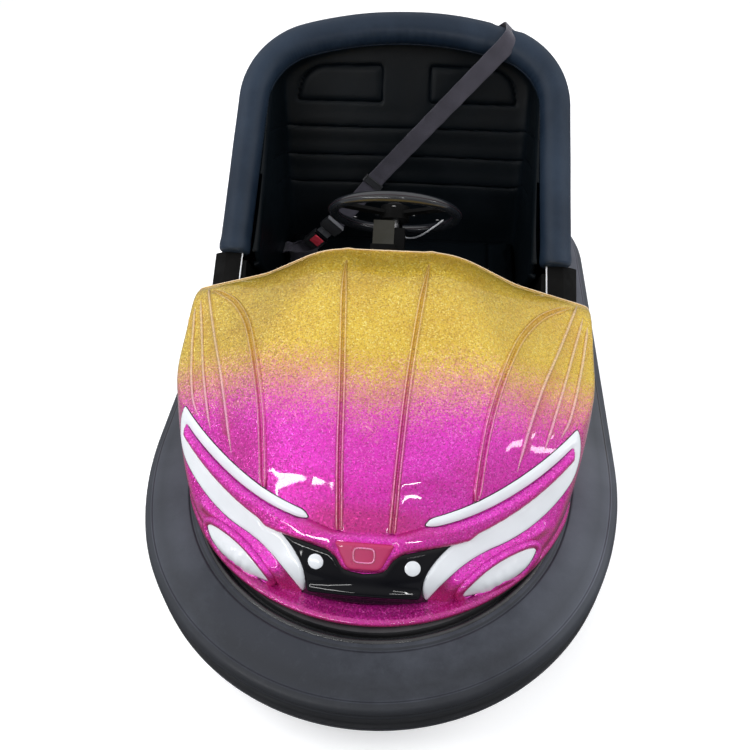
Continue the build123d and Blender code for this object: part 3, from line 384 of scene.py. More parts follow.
def webbing_cloth(name, colour, light):
    """Woven belt webbing: ribs across, a herringbone along, worn pale in places."""
    s = Shader(name)
    weave = s.node("ShaderNodeTexWave", wave_type="BANDS", bands_direction="DIAGONAL")
    s.link(s.place, weave.inputs["Vector"])
    weave.inputs["Scale"].default_value = 330.0
    weave.inputs["Distortion"].default_value = 0.6
    thread = s.cells(1400.0, stretch=(1.0, 1.0, 0.5))
    worn = s.noise(11.0, 5.0, 0.6)
    base = s.mix(s.grey(worn, 0.0, 0.9, 0.35, 0.75), colour, light)
    base = s.mix(s.math("MULTIPLY", weave.outputs["Fac"], 0.4), base, tuple(c * 0.5 for c in colour))
    height = s.math("ADD", weave.outputs["Fac"], s.math("MULTIPLY", thread, 0.8))
    return s.finish(base, 0.62, None, s.bump(height, 0.5, 0.0005), Sheen_Weight=0.25)


def checker_plate(name):
    """Black floor sheet with raised bars, dusty and rubbed."""
    s = Shader(name)
    bars = s.cells(60.0, stretch=(1.0, 0.4, 1.0))
    dust = s.noise(9.0, 6.0, 0.65)
    base = s.mix(s.grey(dust, 0.0, 0.8, 0.42, 0.75), (0.02, 0.02, 0.022), (0.09, 0.085, 0.08))
    height = s.grey(bars, 1.0, 0.0, 0.2, 0.32)
    return s.finish(base, s.grey(dust, 0.3, 0.6, 0.3, 0.7), 0.3, s.bump(height, 0.4, 0.001))


MATS = {
    "front": glitter("glitter_front", front_fade),
    "rear": glitter("glitter_rear", rear_fade),
    # Channel valleys and the bands beside the creases tinted darker and redder: painted shade.
    "rib": glitter("glitter_rib_painted_shade", front_fade, 0.25),
    "badge": plastic("badge_paint", (0.43, 0.008, 0.095), 0.32, 700.0, 0.0001, 0.8, 0.1),
    "ledge": glitter("ledge_paint", front_fade, 0.6, (0.33, 0.010, 0.08)),
    # Pale tint along the creases' crests: painted highlight.
    "crest": glitter("crest_painted_highlight", front_fade, 0.45, (0.98, 0.70, 0.64), 0.9),
    # Pale tint on the channels' lips and the badge's outline: painted highlight.
    "lip": glitter("lip_painted_highlight", front_fade, 0.34, (1.0, 0.70, 0.56), 1.0),
    # Pale bead colour along the bonnet's rear edge: painted highlight.
    "edge": plastic("edge_painted_highlight", (0.86, 0.66, 0.42), 0.35, 600.0, 0.0003, dirt=0.4),
    "dark": plastic("hub_black", (0.003, 0.003, 0.003), 0.6, 700.0, shine=0.12),
    # dust on the ring is a painted reflection: paler haze on its left and right sides.
    "ring": rubber("ring_rubber", (0.022, 0.025, 0.033), (0.06, 0.066, 0.081), dust=0.85),
    "bead": plastic("bead_rubber", (0.009, 0.009, 0.011), 0.26, 90.0, 0.0022, 0.35, 0.5),
    "tyre": rubber("tyre_rubber", (0.02, 0.02, 0.022), (0.09, 0.085, 0.08)),
    "steel": painted("black_enamel", (0.018, 0.018, 0.02)),
    "motor": painted("motor_paint", (0.13, 0.14, 0.15)),
    "casting": painted("cast_housing", (0.16, 0.16, 0.165), rough=0.5),
    "column": painted("column_paint", (0.020, 0.0185, 0.0115), (0.12, 0.11, 0.08), 0.5),
    "zinc": metal("bright_steel", (0.62, 0.62, 0.63), 0.24),
    "hub": metal("cast_aluminium", (0.55, 0.55, 0.56), 0.38),
    "floor": checker_plate("floor_plate"),
    "roll": vinyl("roll_vinyl", (0.0090, 0.0172, 0.0315), (0.0225, 0.0365, 0.060), 0.32),
    "pads": vinyl("pad_vinyl", (0.0021, 0.0038, 0.0054), (0.0046, 0.0072, 0.0102), 0.18),
    "thread": plastic("seam_thread", (0.055, 0.06, 0.07), 0.7, 1500.0),
    "plastic": plastic("black_plastic", (0.012, 0.013, 0.015), 0.3, coat=0.2, dirt=0.4),
    "gloss": plastic("gloss_black", (0.0025, 0.0026, 0.0042), 0.06, 200.0, 0.0001, coat=0.55, shine=0.0),
    "grip": plastic("wheel_grip", (0.011, 0.0125, 0.0155), 0.22, 1400.0, 0.0002, coat=0.9, dirt=0.08),
    "lens": opal("opal_lens"),
    "button": plastic("red_button", (1.0, 0.075, 0.12), 0.3, 800.0),
    "clip": plastic("tongue_clip", (0.2, 0.205, 0.22), 0.3, 600.0, dirt=0.3),
    "wire": plastic("white_wire", (0.75, 0.76, 0.78), 0.3, 800.0),
    "buckle": plastic("buckle_plastic", (0.03, 0.031, 0.034), 0.35, 900.0, dirt=0.3),
    "webbing": webbing_cloth("belt_webbing", (0.04, 0.037, 0.052), (0.075, 0.07, 0.095)),
    "pedal": rubber("pedal_rubber", (0.02, 0.02, 0.022), (0.08, 0.08, 0.08)),
    "raw": plastic("raw_moulding", (0.05, 0.045, 0.04), 0.6, 300.0, 0.001, dirt=0.7),
    "seam": plastic("seam_shadow", (0.02, 0.008, 0.014), 0.5),
}
for mat in MATS.values():
    print("material", mat.name)

CAD_LOOKS = {
    "bumper_ring": "ring", "bumper_hoop": "steel", "body_tray": "steel", "floor_pan": "floor",
    "chassis_frame": "steel", "front_body": "front", "rear_body": "rear", "rear_axle": "zinc",
    "rear_tyre_left": "tyre", "rear_tyre_right": "tyre", "drive_tyre": "tyre", "rear_hub_left": "hub",
    "rear_hub_right": "hub", "drive_hub": "hub", "seat_side_pad_left": "pads", "seat_side_pad_right": "pads",
    "seat_back_pad": "pads", "seat_cushion": "pads", "seat_rim_pad": "roll", "seat_base": "plastic",
    "drive_fork": "steel", "drive_axle": "zinc", "drive_motor": "motor", "drive_mount": "steel",
    "steering_gearbox": "casting", "steering_column": "dark", "column_collar": "plastic",
    "steering_rim": "grip", "steering_spokes": "dark", "steering_hub": "dark", "steering_shaft": "zinc",
    "drive_housing": "plastic", "accelerator_pedal": "pedal", "battery_pack": "plastic",
    "light_strips": "lens", "fog_lamps": "lens", "grille_panel": "gloss", "grille_lamps": "lens",
    "badge_plate": "front", "belt_upper": "webbing", "belt_lower": "webbing", "belt_tongue": "zinc",
    "belt_buckle": "plastic", "belt_anchor": "plastic", "sill_covers": "dark",
}
for node, look in CAD_LOOKS.items():
    obj = NODES[node]
    obj.data.materials.clear()
    obj.data.materials.append(MATS[look])


# ------------------------------------------------------------------ camera, light and floor
CAMERA_PLACE = (0.1145, -1.4722, 1.6859)
CAMERA_TURN = (45.8, -6.3, 1.3)     # degrees down, to the right and about the view
LENS = 35.67
FLOOR_REACH = 14.0


def camera():
    """Camera at the photograph's place: above the nose, looking down on the car."""
    data = bpy.data.cameras.new("camera")
    data.sensor_width = 36.0
    data.lens = LENS
    obj = bpy.data.objects.new("camera", data)
    bpy.context.scene.collection.objects.link(obj)
    pitch, yaw, roll = (radians(turn) for turn in CAMERA_TURN)
    forward = Vector((sin(yaw) * cos(pitch), cos(yaw) * cos(pitch), -sin(pitch)))
    right = Vector((cos(yaw), -sin(yaw), 0))
    down = forward.cross(right)
    right, down = right * cos(roll) + down * sin(roll), down * cos(roll) - right * sin(roll)
    turn = Matrix((right, -down, -forward)).transposed()
    obj.matrix_world = Matrix.Translation(CAMERA_PLACE) @ turn.to_4x4()
    bpy.context.scene.camera = obj


def world():
    """Even studio light; gloss sees a dim room that brightens overhead, the camera plain white."""
    data = bpy.data.worlds.new("studio")
    bpy.context.scene.world = data
    data.use_nodes = True
    s = Tree(data.node_tree)
    plain = s.tree.nodes["Background"]
    plain.inputs["Color"].default_value = (0.93, 0.95, 1.0, 1)
    plain.inputs["Strength"].default_value = 0.62
    x, _, z = s.split(s.node("ShaderNodeTexCoord").outputs["Generated"])[:3]
    room = s.node("ShaderNodeBackground")
    rise = s.grey(z, 0.15, 0.95, 0.1, 0.9)
    s.link(s.math("MULTIPLY_ADD", s.math("ABSOLUTE", x), 0.5, rise), room.inputs["Strength"])
    white = s.node("ShaderNodeBackground")
    white.inputs["Color"].default_value = (1, 1, 1, 1)
    ray = s.node("ShaderNodeLightPath").outputs
    seen = s.math("MAXIMUM", ray["Is Camera Ray"], ray["Is Transmission Ray"])
    unseen = s.blend(ray["Is Glossy Ray"], plain.outputs[0], room.outputs[0])
    s.link(s.blend(seen, unseen, white.outputs[0]), s.tree.nodes["World Output"].inputs["Surface"])


def lamp(name, place, target, size, power, mirrored=False):
    """Area light aimed at a target; gloss shows it only if it is mirrored."""
    data = bpy.data.lights.new(name, "AREA")
    data.shape = "RECTANGLE"
    data.size, data.size_y = size
    data.energy = power
    obj = bpy.data.objects.new(name, data)
    obj.location = place
    obj.rotation_euler = (Vector(target) - Vector(place)).to_track_quat("-Z", "Y").to_euler()
    obj.visible_glossy = mirrored
    bpy.context.scene.collection.objects.link(obj)


def floor():
    """White studio floor that the camera sees lit evenly."""
    mesh = bpy.data.meshes.new("studio_floor")
    far = FLOOR_REACH
    mesh.from_pydata([(-far, -far, 0), (far, -far, 0), (far, far, 0), (-far, far, 0)], [], [(0, 1, 2, 3)])
    obj = bpy.data.objects.new("studio_floor", mesh)
    bpy.context.scene.collection.objects.link(obj)
    s = Shader("floor_paint")
    tone = s.grey(s.noise(0.6, 2.0), 0.86, 0.9)
    s.finish(s.ramp(tone, [(0.0, (0, 0, 0)), (1.0, (1, 1, 1))]), 0.8, Specular_IOR_Level=0.1)
    path = s.node("ShaderNodeLightPath")
    seen = path.outputs["Is Camera Ray"]
    shown = s.mix(seen, (0.30, 0.30, 0.31), s.bsdf.inputs["Base Color"].links[0].from_socket)
    s.link(shown, s.bsdf.inputs["Base Color"])
    s.link((1, 1, 1, 1), s.bsdf.inputs["Emission Color"])
    s.link(s.math("MULTIPLY", seen, 0.32), s.bsdf.inputs["Emission Strength"])
    mesh.materials.append(s.mat)


camera()
world()
floor()
NOSE_TOP = Vector((0, -0.6, 0.47))


def window(name, azimuth, height, distance, size, power):
    """Light at a bearing from the nose: degrees from straight ahead towards the left, and above level."""
    a, e = radians(azimuth), radians(height)
    way = Vector((sin(a) * cos(e), -cos(a) * cos(e), sin(e)))
    lamp(name, NOSE_TOP + way * distance, NOSE_TOP, size, power, True)


lamp("key", (-2.3, -0.6, 2.8), (0, -0.2, 0.4), (2.2, 1.6), 66.0)
lamp("fill", (2.6, -0.4, 2.0), (0, 0, 0.4), (1.8, 1.8), 48.0)
lamp("back", (0.3, 2.8, 2.4), (0, 0.2, 0.5), (2.4, 1.2), 46.0)
window("window_far", -45, 15.6, 3.2, (1.6, 0.11), 13.0)
window("window_near", -19, 17.2, 3.2, (1.2, 0.11), 10.0)
window("window_short", 15, 22.0, 3.0, (0.5, 0.04), 2.6)
window("window_side", 82, 15, 3.4, (0.6, 0.1), 2.5)
bpy.context.scene.view_settings.view_transform = "Standard"


def make(name, verts, faces, look, body="car", replaces=(), sharp=None):
    """New piece from vertices and faces, riding on a body, in one of the looks."""
    mesh = bpy.data.meshes.new(name)
    mesh.from_pydata([tuple(v) for v in verts], [], [tuple(f) for f in faces])
    mesh.materials.append(MATS[look])
    return take_up(bpy.data.objects.new(name, mesh), body, replaces, sharp)


def take_up(obj, body="car", replaces=(), sharp=None):
    """Links a finished object as a piece of the car."""
    bpy.context.scene.collection.objects.link(obj)
    fix = bmesh.new()
    fix.from_mesh(obj.data)
    bmesh.ops.recalc_face_normals(fix, faces=fix.faces)
    fix.to_mesh(obj.data)
    fix.free()
    obj.data.shade_smooth()
    if sharp:
        obj.data.set_sharp_from_angle(angle=radians(sharp))
    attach(obj, body)
    if replaces:
        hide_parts(*replaces)
    return obj


def settle(piece):
    """Applies a piece's modifiers to its mesh."""
    graph = bpy.context.evaluated_depsgraph_get()
    mesh = bpy.data.meshes.new_from_object(piece.evaluated_get(graph))
    piece.modifiers.clear()
    old, piece.data = piece.data, mesh
    bpy.data.meshes.remove(old)


def from_bmesh(name, mesh, look, replaces, sharp):
    """New piece on the car from an edited mesh, which is freed."""
    data = bpy.data.meshes.new(name)
    mesh.to_mesh(data)
    mesh.free()
    data.materials.append(MATS[look])
    return take_up(bpy.data.objects.new(name, data), "car", replaces, sharp)


def grid_faces(rows, columns, wrap_rows=False, wrap_columns=False):
    """Quads over a grid of points numbered row by row."""
    faces = []
    for i in range(rows if wrap_rows else rows - 1):
        for j in range(columns if wrap_columns else columns - 1):
            a, b = i * columns + j, i * columns + (j + 1) % columns
            c = (i + 1) % rows * columns
            faces.append((a, b, c + (j + 1) % columns, c + j))
    return faces


def search_tree(nodes):
    """Search tree over the faces of CAD nodes."""
    verts, faces = [], []
    for node in nodes:
        mesh = NODES[node].data
        start = len(verts)
        verts += [v.co[:] for v in mesh.vertices]
        faces += [[start + i for i in p.vertices] for p in mesh.polygons]
    return BVHTree.FromPolygons(verts, faces)


def grid_tree(points):
    """Search tree over a grid of points, rows by columns."""
    rows, columns = points.shape[:2]
    return BVHTree.FromPolygons(points.reshape(-1, 3).tolist(), grid_faces(rows, columns))


def grid_normals(points):
    """Unit normals of a grid of points."""
    normal = np.cross(np.gradient(points, axis=0), np.gradient(points, axis=1))
    size = np.linalg.norm(normal, axis=2, keepdims=True)
    return normal / np.maximum(size, 1e-12)


def relax(points, rounds):
    """Evens out a grid of points; its edges slide along themselves only."""
    for _ in range(rounds):
        moved = points.copy()
        around = points[:-2, 1:-1] + points[2:, 1:-1] + points[1:-1, :-2] + points[1:-1, 2:]
        moved[1:-1, 1:-1] += 0.5 * (around / 4 - points[1:-1, 1:-1])
        for row in (0, -1):
            moved[row, 1:-1] += 0.5 * ((points[row, :-2] + points[row, 2:]) / 2 - points[row, 1:-1])
        points = moved
    return points


def step(low, high, value):
    """Smooth step from 0 at low to 1 at high."""
    share = np.clip((value - low) / (high - low), 0.0, 1.0)
    return share * share * (3 - 2 * share)


def line_distance(points, line):
    """Distance of each point to a line of points, and how far along it the nearest place is, 0 to 1."""
    line = np.asarray(line, float)
    best = np.full(len(points), 1e9)
    along = np.zeros(len(points))
    spans = np.linalg.norm(np.diff(line, axis=0), axis=1)
    reach = np.concatenate([[0], np.cumsum(spans)])
    for k, (a, b) in enumerate(zip(line[:-1], line[1:])):
        way = b - a
        share = np.clip(((points - a) @ way) / max(way @ way, 1e-12), 0, 1)
        gap = np.linalg.norm(points - a - share[:, None] * way, axis=1)
        nearer = gap < best
        best[nearer] = gap[nearer]
        along[nearer] = (reach[k] + share[nearer] * spans[k]) / reach[-1]
    return best, along


def straight_points(start, end, count):
    """Points of the line from start to end, without its start."""
    start, end = np.array(start), np.array(end)
    return [tuple(start + (end - start) * k / count) for k in range(1, count + 1)]


def arc_points(start, way, end, count):
    """Points of the arc from start through way to end, without its start."""
    a, b, c = (complex(*p) for p in (start, way, end))
    w = (c - a) / (b - a)
    if abs(w.imag) < 1e-6:
        return straight_points(start, end, count)
    centre = (b - a) * (w - abs(w) ** 2) / (2j * w.imag) + a
    turn = [degrees(atan2((p - centre).imag, (p - centre).real)) for p in (a, b, c)]
    sweep = (turn[2] - turn[0]) % 360
    if (turn[1] - turn[0]) % 360 > sweep:
        sweep -= 360
    radius = abs(a - centre)
    angles = [radians(turn[0] + sweep * k / count) for k in range(1, count + 1)]
    return [(centre.real + radius * cos(t), centre.imag + radius * sin(t)) for t in angles]


def chain(start, runs, spacing=3.0):
    """Outline in millimetres from a start and runs, each an arc's way point or None, and the run's end."""
    points = [start]
    for way, end in runs:
        here = points[-1]
        count = max(2, round(hypot(end[0] - here[0], end[1] - here[1]) / spacing))
        points += arc_points(here, way, end, count) if way else straight_points(here, end, count)
    return np.array(points) / 1000


def rounded(corners, radius, steps=5, closed=True):
    """Line through corners with each corner rounded by the radius that fits."""
    corners = [np.asarray(c, float) for c in corners]
    radii = radius if isinstance(radius, (list, tuple)) else [radius] * len(corners)
    points = []
    for k, corner in enumerate(corners):
        if not closed and k in (0, len(corners) - 1):
            points.append(corner)
            continue
        before, after = corners[k - 1] - corner, corners[(k + 1) % len(corners)] - corner
        one, two = np.linalg.norm(before), np.linalg.norm(after)
        cut = min(radii[k], 0.45 * one, 0.45 * two)
        a, b = corner + before / one * cut, corner + after / two * cut
        for s in range(steps + 1):
            t = s / steps
            points.append((1 - t) ** 2 * a + 2 * t * (1 - t) * corner + t * t * b)
    return np.array(points)


def evened(points, count, closed=True):
    """The line sampled at equal steps."""
    points = np.asarray(points, float)
    if closed:
        points = np.vstack([points, points[:1]])
    reach = np.concatenate([[0], np.cumsum(np.linalg.norm(np.diff(points, axis=0), axis=1))])
    marks = np.linspace(0, reach[-1], count, endpoint=not closed)
    return np.stack([np.interp(marks, reach, points[:, k]) for k in range(points.shape[1])], axis=1)


def smoothed(points, rounds, closed=True):
    """A line of points with its corners eased."""
    for _ in range(rounds):
        near = (np.roll(points, 1, axis=0) + np.roll(points, -1, axis=0)) / 2
        moved = points + 0.5 * (near - points)
        if not closed:
            moved[0], moved[-1] = points[0], points[-1]
        points = moved
    return points


def frames(path, closed, up=None):
    """Two unit axes across each point of a path: held near up, or carried along without twist."""
    ahead = np.roll(path, -1, axis=0) - np.roll(path, 1, axis=0)
    if not closed:
        ahead[0], ahead[-1] = path[1] - path[0], path[-1] - path[-2]
    ahead /= np.linalg.norm(ahead, axis=1, keepdims=True)
    side = np.zeros_like(path)
    guide = np.array(up if up is not None else (0.0, 0.0, 1.0), float)
    if up is None and abs(ahead[0] @ guide) > 0.9:
        guide = np.array((1.0, 0.0, 0.0))
    guides = guide if guide.ndim == 2 else None
    for k in range(len(path)):
        guide = guides[k] if guides is not None else guide
        across = guide - ahead[k] * (guide @ ahead[k])
        side[k] = across / np.linalg.norm(across)
        if up is None:
            guide = side[k]
    return side, np.cross(ahead, side)


def swept(name, path, section, look, body="car", closed=False, up=None, replaces=(), sharp=None, scale=None):
    """Section, (up, across) pairs, carried along a path; open ends are capped."""
    path, section = np.asarray(path, float), np.asarray(section, float)
    side, across = frames(path, closed, up)
    size = np.ones(len(path)) if scale is None else np.asarray(scale, float)
    points = path[:, None] + size[:, None, None] * (
        side[:, None] * section[None, :, :1] + across[:, None] * section[None, :, 1:])
    count = len(section)
    faces = grid_faces(len(path), count, closed, True)
    if not closed:
        faces += [tuple(range(count))[::-1], tuple(range((len(path) - 1) * count, len(path) * count))]
    return make(name, points.reshape(-1, 3), faces, look, body, replaces, sharp)


def circle(radius, count=16, squash=1.0):
    """Round or flattened section: (up, across) pairs."""
    turns = [2 * pi * k / count for k in range(count)]
    return [(radius * cos(t), radius * squash * sin(t)) for t in turns]


def turned(name, profile, centre, axis, look, body="car", count=64, replaces=(), sharp=40):
    """Closed profile, (radius, height) pairs, turned about an axis."""
    axis = Vector(axis).normalized()
    one = axis.orthogonal().normalized()
    two = axis.cross(one)
    points = []
    for k in range(count):
        out = one * cos(2 * pi * k / count) + two * sin(2 * pi * k / count)
        points += [Vector(centre) + out * r + axis * h for r, h in profile]
    faces = grid_faces(count, len(profile), True, True)
    return make(name, points, faces, look, body, replaces, sharp)


# ------------------------------------------------------------------ front moulding
FRONT_NODES = ("front_body", "light_strips", "fog_lamps", "grille_panel", "grille_lamps", "badge_plate")
LEDGE_TOP = BODY_BASE + 0.014
NOSE_UP = Vector((0, cos(NOSE_LEAN), sin(NOSE_LEAN)))
NOSE_OUT = Vector((0, -sin(NOSE_LEAN), cos(NOSE_LEAN)))
STRIP = chain((115, 115), [
    (None, (127, 130)), ((290, 203), (433, 315)), ((443, 262), (421, 196)), ((346, 115), (263, 70)),
    ((187, 26), (128, -50)), ((119, -16), (126, 19)), ((145, 49), (174, 79)), (None, (210, 85)),
    (None, (222, 100)), ((325, 158), (425, 250)), (None, (424, 277)), ((290, 175), (137, 114)),
    (None, (117, 114)),
])
FOG = chain((355, 69), [((282, 47), (197, -27)), (None, (188, -80)), (None, (290, -80)), (None, (303, -4)),
                        ((334, 28), (353, 66))])
GRILLE_HALF = chain((0, 8), [(None, (38, 14)), (None, (66, 51)), (None, (174, 79)), ((145, 49), (126, 19)),
                             ((119, -16), (128, -50)), (None, (134, -96)), (None, (0, -96))])
BAND_HALF = chain((0, 93), [((32, 94), (62, 95)), ((90, 104), (115, 113)), (None, (139, 113)),
                            ((292, 173), (427, 280)), (None, (427, 247)), ((325, 156), (224, 98)),
                            (None, (208, 84)), (None, (174, 76)), ((132, 68), (92, 60)), ((70, 50), (55, 31)),
                            ((48, 20), (34, 12)), (None, (0, 10))])
BADGE = rounded([(0.061, 0.077), (0.034, 0.020), (-0.034, 0.020), (-0.061, 0.077)],
                [0.004, 0.012, 0.012, 0.004], 6)


def both_sides(half):
    """Closed outline from its right half, which runs from the middle round to the middle."""
    left = half[1:-1][::-1] * np.array((-1.0, 1.0))
    return np.vstack([half, left])


def ridge_lines():
    """The bonnet's channels and creases, right side: plan points in mm, kind, height, half width, tapers."""
    return [
        ([(95, -108), (91, -174), (79, -307), (71, -396), (65, -474), (60, -560), (55, -640), (53, -672)],
         "channel", 2.7, 8.5, (0.28, 0.0)),
        ([(440, -84), (405, -118), (363, -154), (328, -210), (302, -262), (275, -340), (249, -424),
          (232, -490), (222, -560), (218, -600)], "channel", 3.2, 10.5, (0.1, 0.03)),
        ([(456, -60), (421, -165), (385, -268), (351, -358), (328, -430), (313, -478), (300, -530)],
         "crease", 4.0, 33.0, (0.12, 0.1)),
        ([(463, -110), (424, -250), (400, -338), (378, -410), (358, -474)], "crease", 3.2, 17.0, (0.12, 0.1)),
        ([(473, -130), (452, -245), (431, -337), (414, -400), (394, -438)], "crease", 3.4, 19.0, (0.12, 0.1)),
    ]


def curve_plan(points):
    """Smooth line through a few plan points."""
    line = smoothed(evened(points, 60, closed=False), 12, closed=False)
    return [tuple(p) for p in line]


def front_grid():
    """Outer form of the front moulding as an even grid, from its base (row 0) up to its rear edge."""
    tree = search_tree(FRONT_NODES)
    centre = Vector((0, BONNET_REAR, LEDGE_TOP + 0.003))
    columns, rows = 480, 190
    points = np.zeros((rows, columns, 3))
    for i in range(rows):
        b = radians(0.15 + 89.4 * (i / (rows - 1)) ** 1.1)
        for j in range(columns):
            a = radians(0.4 + 179.2 * j / (columns - 1))
            way = Vector((cos(a), -sin(a) * cos(b), sin(a) * sin(b)))
            hit = tree.ray_cast(centre + way * 1.5, -way)[0]
            points[i, j] = hit
    points[-1, :, 1] = BONNET_REAR
    return relax(points, 12)


def fold_nose(points):
    """Raises the soft fold under the light strips."""
    flat = points.reshape(-1, 3)
    rel = flat - np.array(NOSE_PLANE)
    plane = np.stack([np.abs(rel[:, 0]), rel @ np.array(NOSE_UP)], axis=1)
    fold = np.array([(386, 118), (352, 92), (300, 71), (240, 40), (192, 0), (165, -45), (150, -85)]) / 1000
    fold = smoothed(evened(fold, 60, closed=False), 8, closed=False)
    gap, along = line_distance(plane, fold)
    crease = 0.007 * np.clip(1 - gap / 0.017, 0, 1) * step(0, 0.1, along)
    lift = np.where((plane[:, 0] < 0.5) & (flat[:, 1] < -0.35), crease, 0.0)
    return points + grid_normals(points) * lift.reshape(points.shape[:2])[:, :, None]


def sink_channels(points):
    """Lowers the moulding under the channels, so that their valleys lie under its surface."""
    flat = points.reshape(-1, 3)
    plan = np.stack([np.abs(flat[:, 0]), flat[:, 1]], axis=1)
    drop = np.zeros(len(flat))
    for line, kind, _, half, _ in ridge_lines():
        if kind == "channel":
            gap, along = line_distance(plan, np.array(curve_plan(line)) / 1000)
            reach = half / 1000
            valley = 0.004 * (1 - step(0.45 * reach, 0.85 * reach, gap)) * step(0.0, 0.05, along)
            drop = np.maximum(drop, valley)
    drop[flat[:, 2] < 0.40] = 0
    return points - grid_normals(points) * drop.reshape(points.shape[:2])[:, :, None]


def rib_section(kind, height, half, outward):
    """Section of a channel's valley, or of the band that falls away outside a crease: (up, across) pairs."""
    if kind == "channel":
        spread = np.linspace(-1, 1, 25)
        lip = height * np.clip(1 - ((np.abs(spread) - 0.6) / 0.4) ** 2, 0, 1)
        rise = lip * step(0.1, 0.42, np.abs(spread)) - 1.9 * (1 - step(0.08, 0.42, np.abs(spread)))
        low = -6.0
    else:
        spread = np.array([-0.22, -0.16, -0.1, -0.05, 0, 0.05, 0.1, 0.16, 0.24, 0.36, 0.5, 0.7, 0.86, 1.0])
        shape = [-0.22, -0.1, 0.0, 0.1, 0.24, 0.5, 1.0], [0, 0.6, 1, 0.5, 0.16, 0.12, 0]
        rise = height * np.interp(spread, *shape)
        low = -3.0
    pairs = [((r - 0.25) / 1000, half / 1000 * a * outward) for r, a in zip(rise, spread)]
    return pairs + [(low / 1000, pairs[-1][1]), (low / 1000, pairs[0][1])]


def ribs(skin):
    """Channels and creases of the bonnet, with pale beads on their lips and crests as painted highlights, and
    tapered ends.
    """
    for number, (line, kind, height, half, (head, foot)) in enumerate(ridge_lines()):
        for side, way in SIDES:
            path, up = [], []
            for x, y in evened(curve_plan(line), 170, closed=False):
                over = Vector((way * x / 1000, y / 1000, 1.2))
                spot, normal, _, _ = skin.ray_cast(over, Vector((0, 0, -1)))
                if spot:
                    path.append(spot)
                    up.append(normal if normal.z > 0 else -normal)
            path = smoothed(np.array(path), 8, closed=False)
            up = smoothed(np.array(up), 14, closed=False)
            along = np.linspace(0, 1, len(path))
            taper = step(-0.01, max(head, 0.01), along) * (1 - step(1 - max(foot, 0.01), 1.02, along))
            path = path - up * ((1 - taper) * height / 2600)[:, None]
            scale = 0.2 + 0.8 * taper
            section = rib_section(kind, height, half, -way)
            swept(f"bonnet_{kind}_{number + 1}_{side}", path, section, "rib", up=up, sharp=70, scale=scale)
            # Pale beads on the channels' lips and the creases' crests: painted highlights.
            lips, thick, look = ((-0.6, 0.6), 1.1, "lip") if kind == "channel" else ((-0.02,), 3.0, "crest")
            for rank, place in enumerate(lips):
                bead = [(u + (height - 0.7 * thick) / 1000, a - way * place * half / 1000)
                        for u, a in circle(thick / 1000, 10, 1.15)]
                swept(f"bonnet_lip_{number + 1}_{side}_{rank + 1}", path, bead, look, up=up, scale=scale)


def front_moulding():
    """The glittering front moulding with its ridges, turned rear edge and raw inside."""
    points = front_grid()
    points = fold_nose(points)
    normals = grid_normals(points)
    if normals[len(normals) // 2, normals.shape[1] // 2] @ np.array((0, -1.0, 1.0)) < 0:
        normals = -normals
    below = [points[0] + (points[0] - points[6]) / 6 * k for k in range(9, 0, -3)]
    skin = grid_tree(np.concatenate([np.stack(below), points]))
    points = sink_channels(points)
    foot = points[0].copy()
    foot[:, 2] = BODY_BASE + 0.0005
    # Pale bead just behind the rear edge: a painted highlight along the rolled edge.
    edge = points[-1] + normals[-1] * 0.0006 + np.array((0, 0.0022, 0))
    swept("bonnet_edge_highlight", edge, circle(0.0013, 8), "edge", up=(0, 0, 1))
    rear, out = points[-1], normals[-1] * np.array((1.0, 0.0, 1.0))
    out /= np.linalg.norm(out, axis=1, keepdims=True)
    back = np.array((0.0, 1.0, 0.0))
    turn_over = ((0.0015, 0.0004), (0.003, 0.0018), (0.0038, 0.0038), (0.0035, 0.009), (0.0015, 0.0098),
                 (-0.004, 0.0095))
    rolled = [rear + back * b - out * n for b, n in turn_over]
    whole = np.concatenate([foot[None], points, np.stack(rolled)])
    faces = grid_faces(*whole.shape[:2])
    make("front_moulding", whole.reshape(-1, 3), faces, "front", replaces=("front_body",))
    inner = (points - normals * 0.0075)[::4, ::4]
    inner[-1, :, 1] = BONNET_REAR - 0.004
    base = inner[0].copy()
    base[:, 2] = BODY_BASE + 0.001
    inner = np.concatenate([base[None], inner])
    make("front_moulding_inside", inner.reshape(-1, 3), grid_faces(*inner.shape[:2]), "raw")
    rim = np.stack([foot, foot * np.array((0.984, 0.986, 1.0)) + np.array((0, -0.0008, 0.0005))])
    make("front_moulding_foot", rim.reshape(-1, 3), grid_faces(*rim.shape[:2]), "front")
    return skin


def on_nose(skin, u, v):
    """Place and outward normal on the front moulding, straight behind a point of the nose plane."""
    start = NOSE_PLANE + Vector((u, 0, 0)) + NOSE_UP * v + NOSE_OUT * 0.4
    place, normal, _, _ = skin.ray_cast(start, -NOSE_OUT)
    if place is None:
        place, normal, _, _ = skin.find_nearest(start - NOSE_OUT * 0.4)
    if normal @ NOSE_OUT < 0:
        normal = -normal
    return np.array(place), np.array(normal)


def seated(skin, points, on):
    """Places and outward normals on a moulding for many points."""
    return (np.array(column) for column in zip(*(on(skin, u, v) for u, v in points)))


def edge_gap(points, outline):
    """Distance of each point to a closed outline."""
    return line_distance(points, np.vstack([outline, outline[:1]]))[0]


def inside(points, outline):
    """Whether each point lies inside a closed outline."""
    ends = np.roll(outline, -1, axis=0)
    x, y = points[:, 0, None], points[:, 1, None]
    crosses = (outline[:, 1] > y) != (ends[:, 1] > y)
    rise = np.where(np.abs(ends[:, 1] - outline[:, 1]) < 1e-12, 1e-12, ends[:, 1] - outline[:, 1])
    at = outline[:, 0] + (y - outline[:, 1]) * (ends[:, 0] - outline[:, 0]) / rise
    return (crosses & (x < at)).sum(axis=1) % 2 == 1


